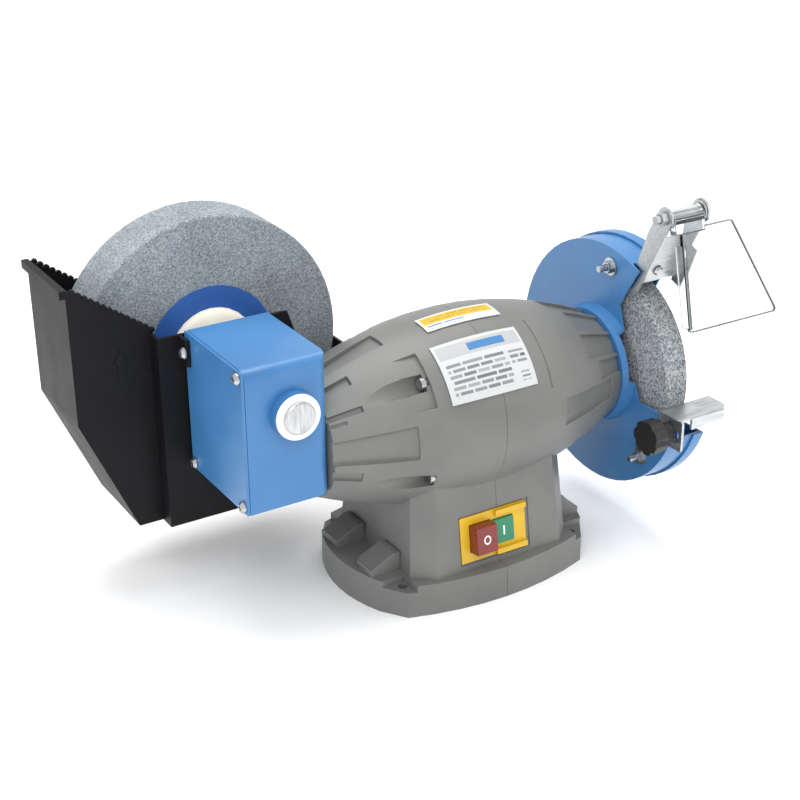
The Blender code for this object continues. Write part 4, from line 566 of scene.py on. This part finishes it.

# %% [markdown]
# A narrow grey line round both broad faces is painted shade. It stands for the dark outline that the sheet's
# edge shows. The line is taken from those faces: they are inset by its width, the middle is deleted, and what
# is left is thickened by a tenth of a millimetre.

# %% Painted shade line round the eye shield
# A grey band of painted shade round the shield's outline, in the same grey as the sawn faces
rim = bpy.data.objects.new("shield_painted_edge_shade", shield.data.copy())
bpy.context.scene.collection.objects.link(rim)
only(rim)
bpy.ops.object.mode_set(mode="EDIT")
bpy.ops.mesh.select_mode(type="FACE")
bpy.ops.mesh.select_all(action="DESELECT")
bpy.ops.object.mode_set(mode="OBJECT")
for face in rim.data.polygons:
    face.select = abs(face.normal.dot(broadest)) < 0.999 or face.area < BROAD_AREA
bpy.ops.object.mode_set(mode="EDIT")
bpy.ops.mesh.delete(type="FACE")
bpy.ops.mesh.select_all(action="SELECT")
bpy.ops.mesh.inset(thickness=0.8 * MM, use_boundary=True)
bpy.ops.mesh.delete(type="FACE")
bpy.ops.object.mode_set(mode="OBJECT")
applied(rim, "SOLIDIFY", thickness=0.1 * MM, offset=1)
finished(rim, sawn_edge_painted_shade, "shield")
print("painted shade line faces:", len(rim.data.polygons))

# %% [markdown]
# ## Marks on the two buttons
# The stop button carries a ring and the start button a bar, the usual signs for off and on. They are printed
# a little proud of the plastic: a flattened torus, and a thin bar with soft edges.

# %% Ring and bar
outward = Vector((0, -0.990495, 0.137553))  # the pedestal's front leans back by 8 degrees
facing = outward.to_track_quat("Z", "Y").to_euler()
plane_of_buttons = Vector((0, -0.0608, 0.048))  # the middle of the switch's frame, seen along X
for node, proud, body in (("stop_button", 9.0, "stop"), ("start_button", 1.5, "start")):
    centre = plane_of_buttons + outward * proud * MM
    centre.x = middle(node).x
    if body == "stop":
        bpy.ops.mesh.primitive_torus_add(location=centre, rotation=facing, major_radius=2.9 * MM,
                                         minor_radius=0.6 * MM, major_segments=40, minor_segments=10)
        mark = only(bpy.context.object)
        mark.scale = (0.85, 1, 0.35)
    else:
        mark = block("bar", (-0.65 * MM, -3.6 * MM, -0.2 * MM), (0.65 * MM, 3.6 * MM, 0.2 * MM))
        mark.location, mark.rotation_euler = centre, facing
        applied(mark, "BEVEL", width=0.15 * MM, segments=2)
    mark.name = body + "_mark"
    finished(mark, mark_white, body)
print("start mark at, in mm:", [round(v * 1000, 1) for v in centre])

# %% [markdown]
# ## Beads and arrow on the tray
# The two sloping rims of the water tray are moulded with a row of small beads, which stiffen the rim and
# break the drips. One bead is a short roll with rounded ends, and an array lays it along the slope, then
# across to the back wall.

# %% Rim beads
BEADS = 14
FRONT_WALL = 0.0702  # the middle of that wall's thickness, along Y
TO_BACK_WALL = 0.0716  # from there to the middle of the back wall
tray_low, tray_high = (Vector(c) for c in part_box("water_tray"))
rim_start = Vector((tray_low.x + 9 * MM, FRONT_WALL, tray_high.z - 2.5 * MM))
rim_end = Vector((-0.2005, FRONT_WALL, 0.2028))
bpy.ops.mesh.primitive_cylinder_add(radius=2.1 * MM, depth=3.2 * MM, vertices=12, location=rim_start,
                                    rotation=ALONG_Y)
beads = only(bpy.context.object)
beads.name = "tray_rim_beads"
bpy.ops.object.transform_apply(location=True, rotation=True, scale=True)
applied(beads, "BEVEL", width=0.6 * MM, segments=2, limit_method="ANGLE", angle_limit=math.radians(60))
step = (rim_end - rim_start) / (BEADS - 1)
applied(beads, "ARRAY", count=BEADS, use_relative_offset=False, use_constant_offset=True,
        constant_offset_displace=step)
applied(beads, "ARRAY", count=2, use_relative_offset=False, use_constant_offset=True,
        constant_offset_displace=(0, TO_BACK_WALL, 0))
finished(beads, black_abs, home["water_tray"])
print("bead pitch in mm:", round(step.length * 1000, 2))

# %% [markdown]
# The front wall has a raised arrow that shows which way up the tray goes: a bar and a three-sided disc,
# joined and softened at the edges.

# %% Arrow on the front wall
arrow = block("tray_arrow", (-0.2275, 0.0682, 0.169), (-0.2225, 0.0695, 0.184))
head = disc("arrow_head", 6.5 * MM, 1.3 * MM, (-0.225, 0.06885, 0.1865), ALONG_Y, 3)
applied(arrow, "BOOLEAN", operation="UNION", object=head)
bpy.data.objects.remove(head)
applied(arrow, "BEVEL", width=0.2 * MM, segments=2, limit_method="ANGLE", angle_limit=math.radians(40))
finished(arrow, black_abs, home["water_tray"])
print("arrow faces:", len(arrow.data.polygons))

# %% [markdown]
# ## Washers under the guard's nuts
# A plain washer spreads each nut's load on the thin sheet. It is a disc with a bore and a soft edge.

# %% Washers
for i in (1, 2, 3):
    nut = f"guard_nut_{i}"
    low, high = (Vector(c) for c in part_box(nut))
    place = ((high.x - 0.6 * MM), (low.y + high.y) / 2, (low.z + high.z) / 2)
    washer = disc(f"guard_washer_{i}", 7 * MM, 1.2 * MM, place, ALONG_X, 32)
    bore = disc("bore", 4.1 * MM, 5 * MM, place, ALONG_X, 24)
    applied(washer, "BOOLEAN", operation="DIFFERENCE", object=bore)
    bpy.data.objects.remove(bore)
    applied(washer, "BEVEL", width=0.2 * MM, segments=2, limit_method="ANGLE",
            angle_limit=math.radians(40))
    finished(washer, zinc_screw, home[nut])
print("washers made")

# %% [markdown]
# The parts inside the housing stay as they are packed. They are hidden until the model is taken apart, and
# then their metal tells which is which.

# %% Materials of the inner nodes
inner = {"base_plate": zinc_sheet, "stator_core": iron_stack, "winding_left": copper_wire,
         "winding_right": copper_wire, "bearing_left": turned_steel, "bearing_right": turned_steel,
         "rotor_core": cast_alloy, "worm": worm_bronze, "worm_wheel": worm_bronze, "switch_body": knob_black,
         "capacitor": cast_alloy}
for node, material in inner.items():
    shown = frame["nodes"][node].data
    shown.materials.clear()
    shown.materials.append(material)
left_over = [n for n, o in frame["nodes"].items() if not o.hide_render and n not in inner]
print("nodes without a finish:", left_over)

# %% [markdown]
# ## Floor, light and camera
# A pale floor and broad, soft lights, as in a catalogue. The camera stands to the left of the front and a
# little above, about 1.2 m away, with a lens of 70 mm.

# %% Studio
floor_paint = moulded("pale_floor_paint", "FAFAFA", "FDFDFD", 0.8, 0.000001, gloss=0.1)
bpy.ops.mesh.primitive_plane_add(size=30)
floor = bpy.context.object
floor.name = "studio_floor"
floor.data.materials.append(floor_paint)
floor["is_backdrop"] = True

world = bpy.data.worlds.new("studio_air")
world.use_nodes = True
world.node_tree.nodes["Background"].inputs["Color"].default_value = (1, 1, 1, 1)
world.node_tree.nodes["Background"].inputs["Strength"].default_value = 1.02
bpy.context.scene.world = world
# Each light's name, its place and size in metres, and its power in watts
for name, place, size, power in (
        ("key_light", (-1.1, -1.4, 2.1), 1.2, 20), ("fill_light", (1.9, -1.2, 1.0), 1.5, 6),
        ("top_light", (0.1, 0.5, 2.3), 1.6, 34)):
    lamp = bpy.data.lights.new(name, "AREA")
    lamp.size, lamp.energy = size, power
    light = bpy.data.objects.new(name, lamp)
    bpy.context.scene.collection.objects.link(light)
    light.location = place
    aim = Vector((0, 0, 0.13)) - Vector(place)
    light.rotation_euler = aim.to_track_quat("-Z", "Y").to_euler()

lens = bpy.data.cameras.new("camera")
lens.lens, lens.sensor_width = 70.26, 36
camera = bpy.data.objects.new("camera", lens)
bpy.context.scene.collection.objects.link(camera)
# The camera's own directions: it is rolled by about a third of a degree
right, up, forward = (Vector(v) for v in ((0.8534, -0.5212, -0.0057), (0.2243, 0.3572, 0.9067),
                                          (0.4706, 0.7751, -0.4217)))
turn = Matrix((right, up, -forward)).transposed().to_4x4()
camera.matrix_world = Matrix.Translation((-0.5676, -0.8607, 0.6072)) @ turn
bpy.context.scene.camera = camera
bpy.context.scene.view_settings.view_transform = "Standard"
print("camera at", [round(v, 3) for v in camera.location])

# %% [markdown]
# ## Size, and the end
# The finished model keeps the frame's size. The difference of the two boxes is printed, so that they can be
# compared.

# %% Sizes, and the end
seen_low, seen_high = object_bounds()
grown = [round((v - c) * 1000, 2) for v, c in zip(seen_high - seen_low, cad_high - cad_low)]
print("grown by, in mm:", grown)
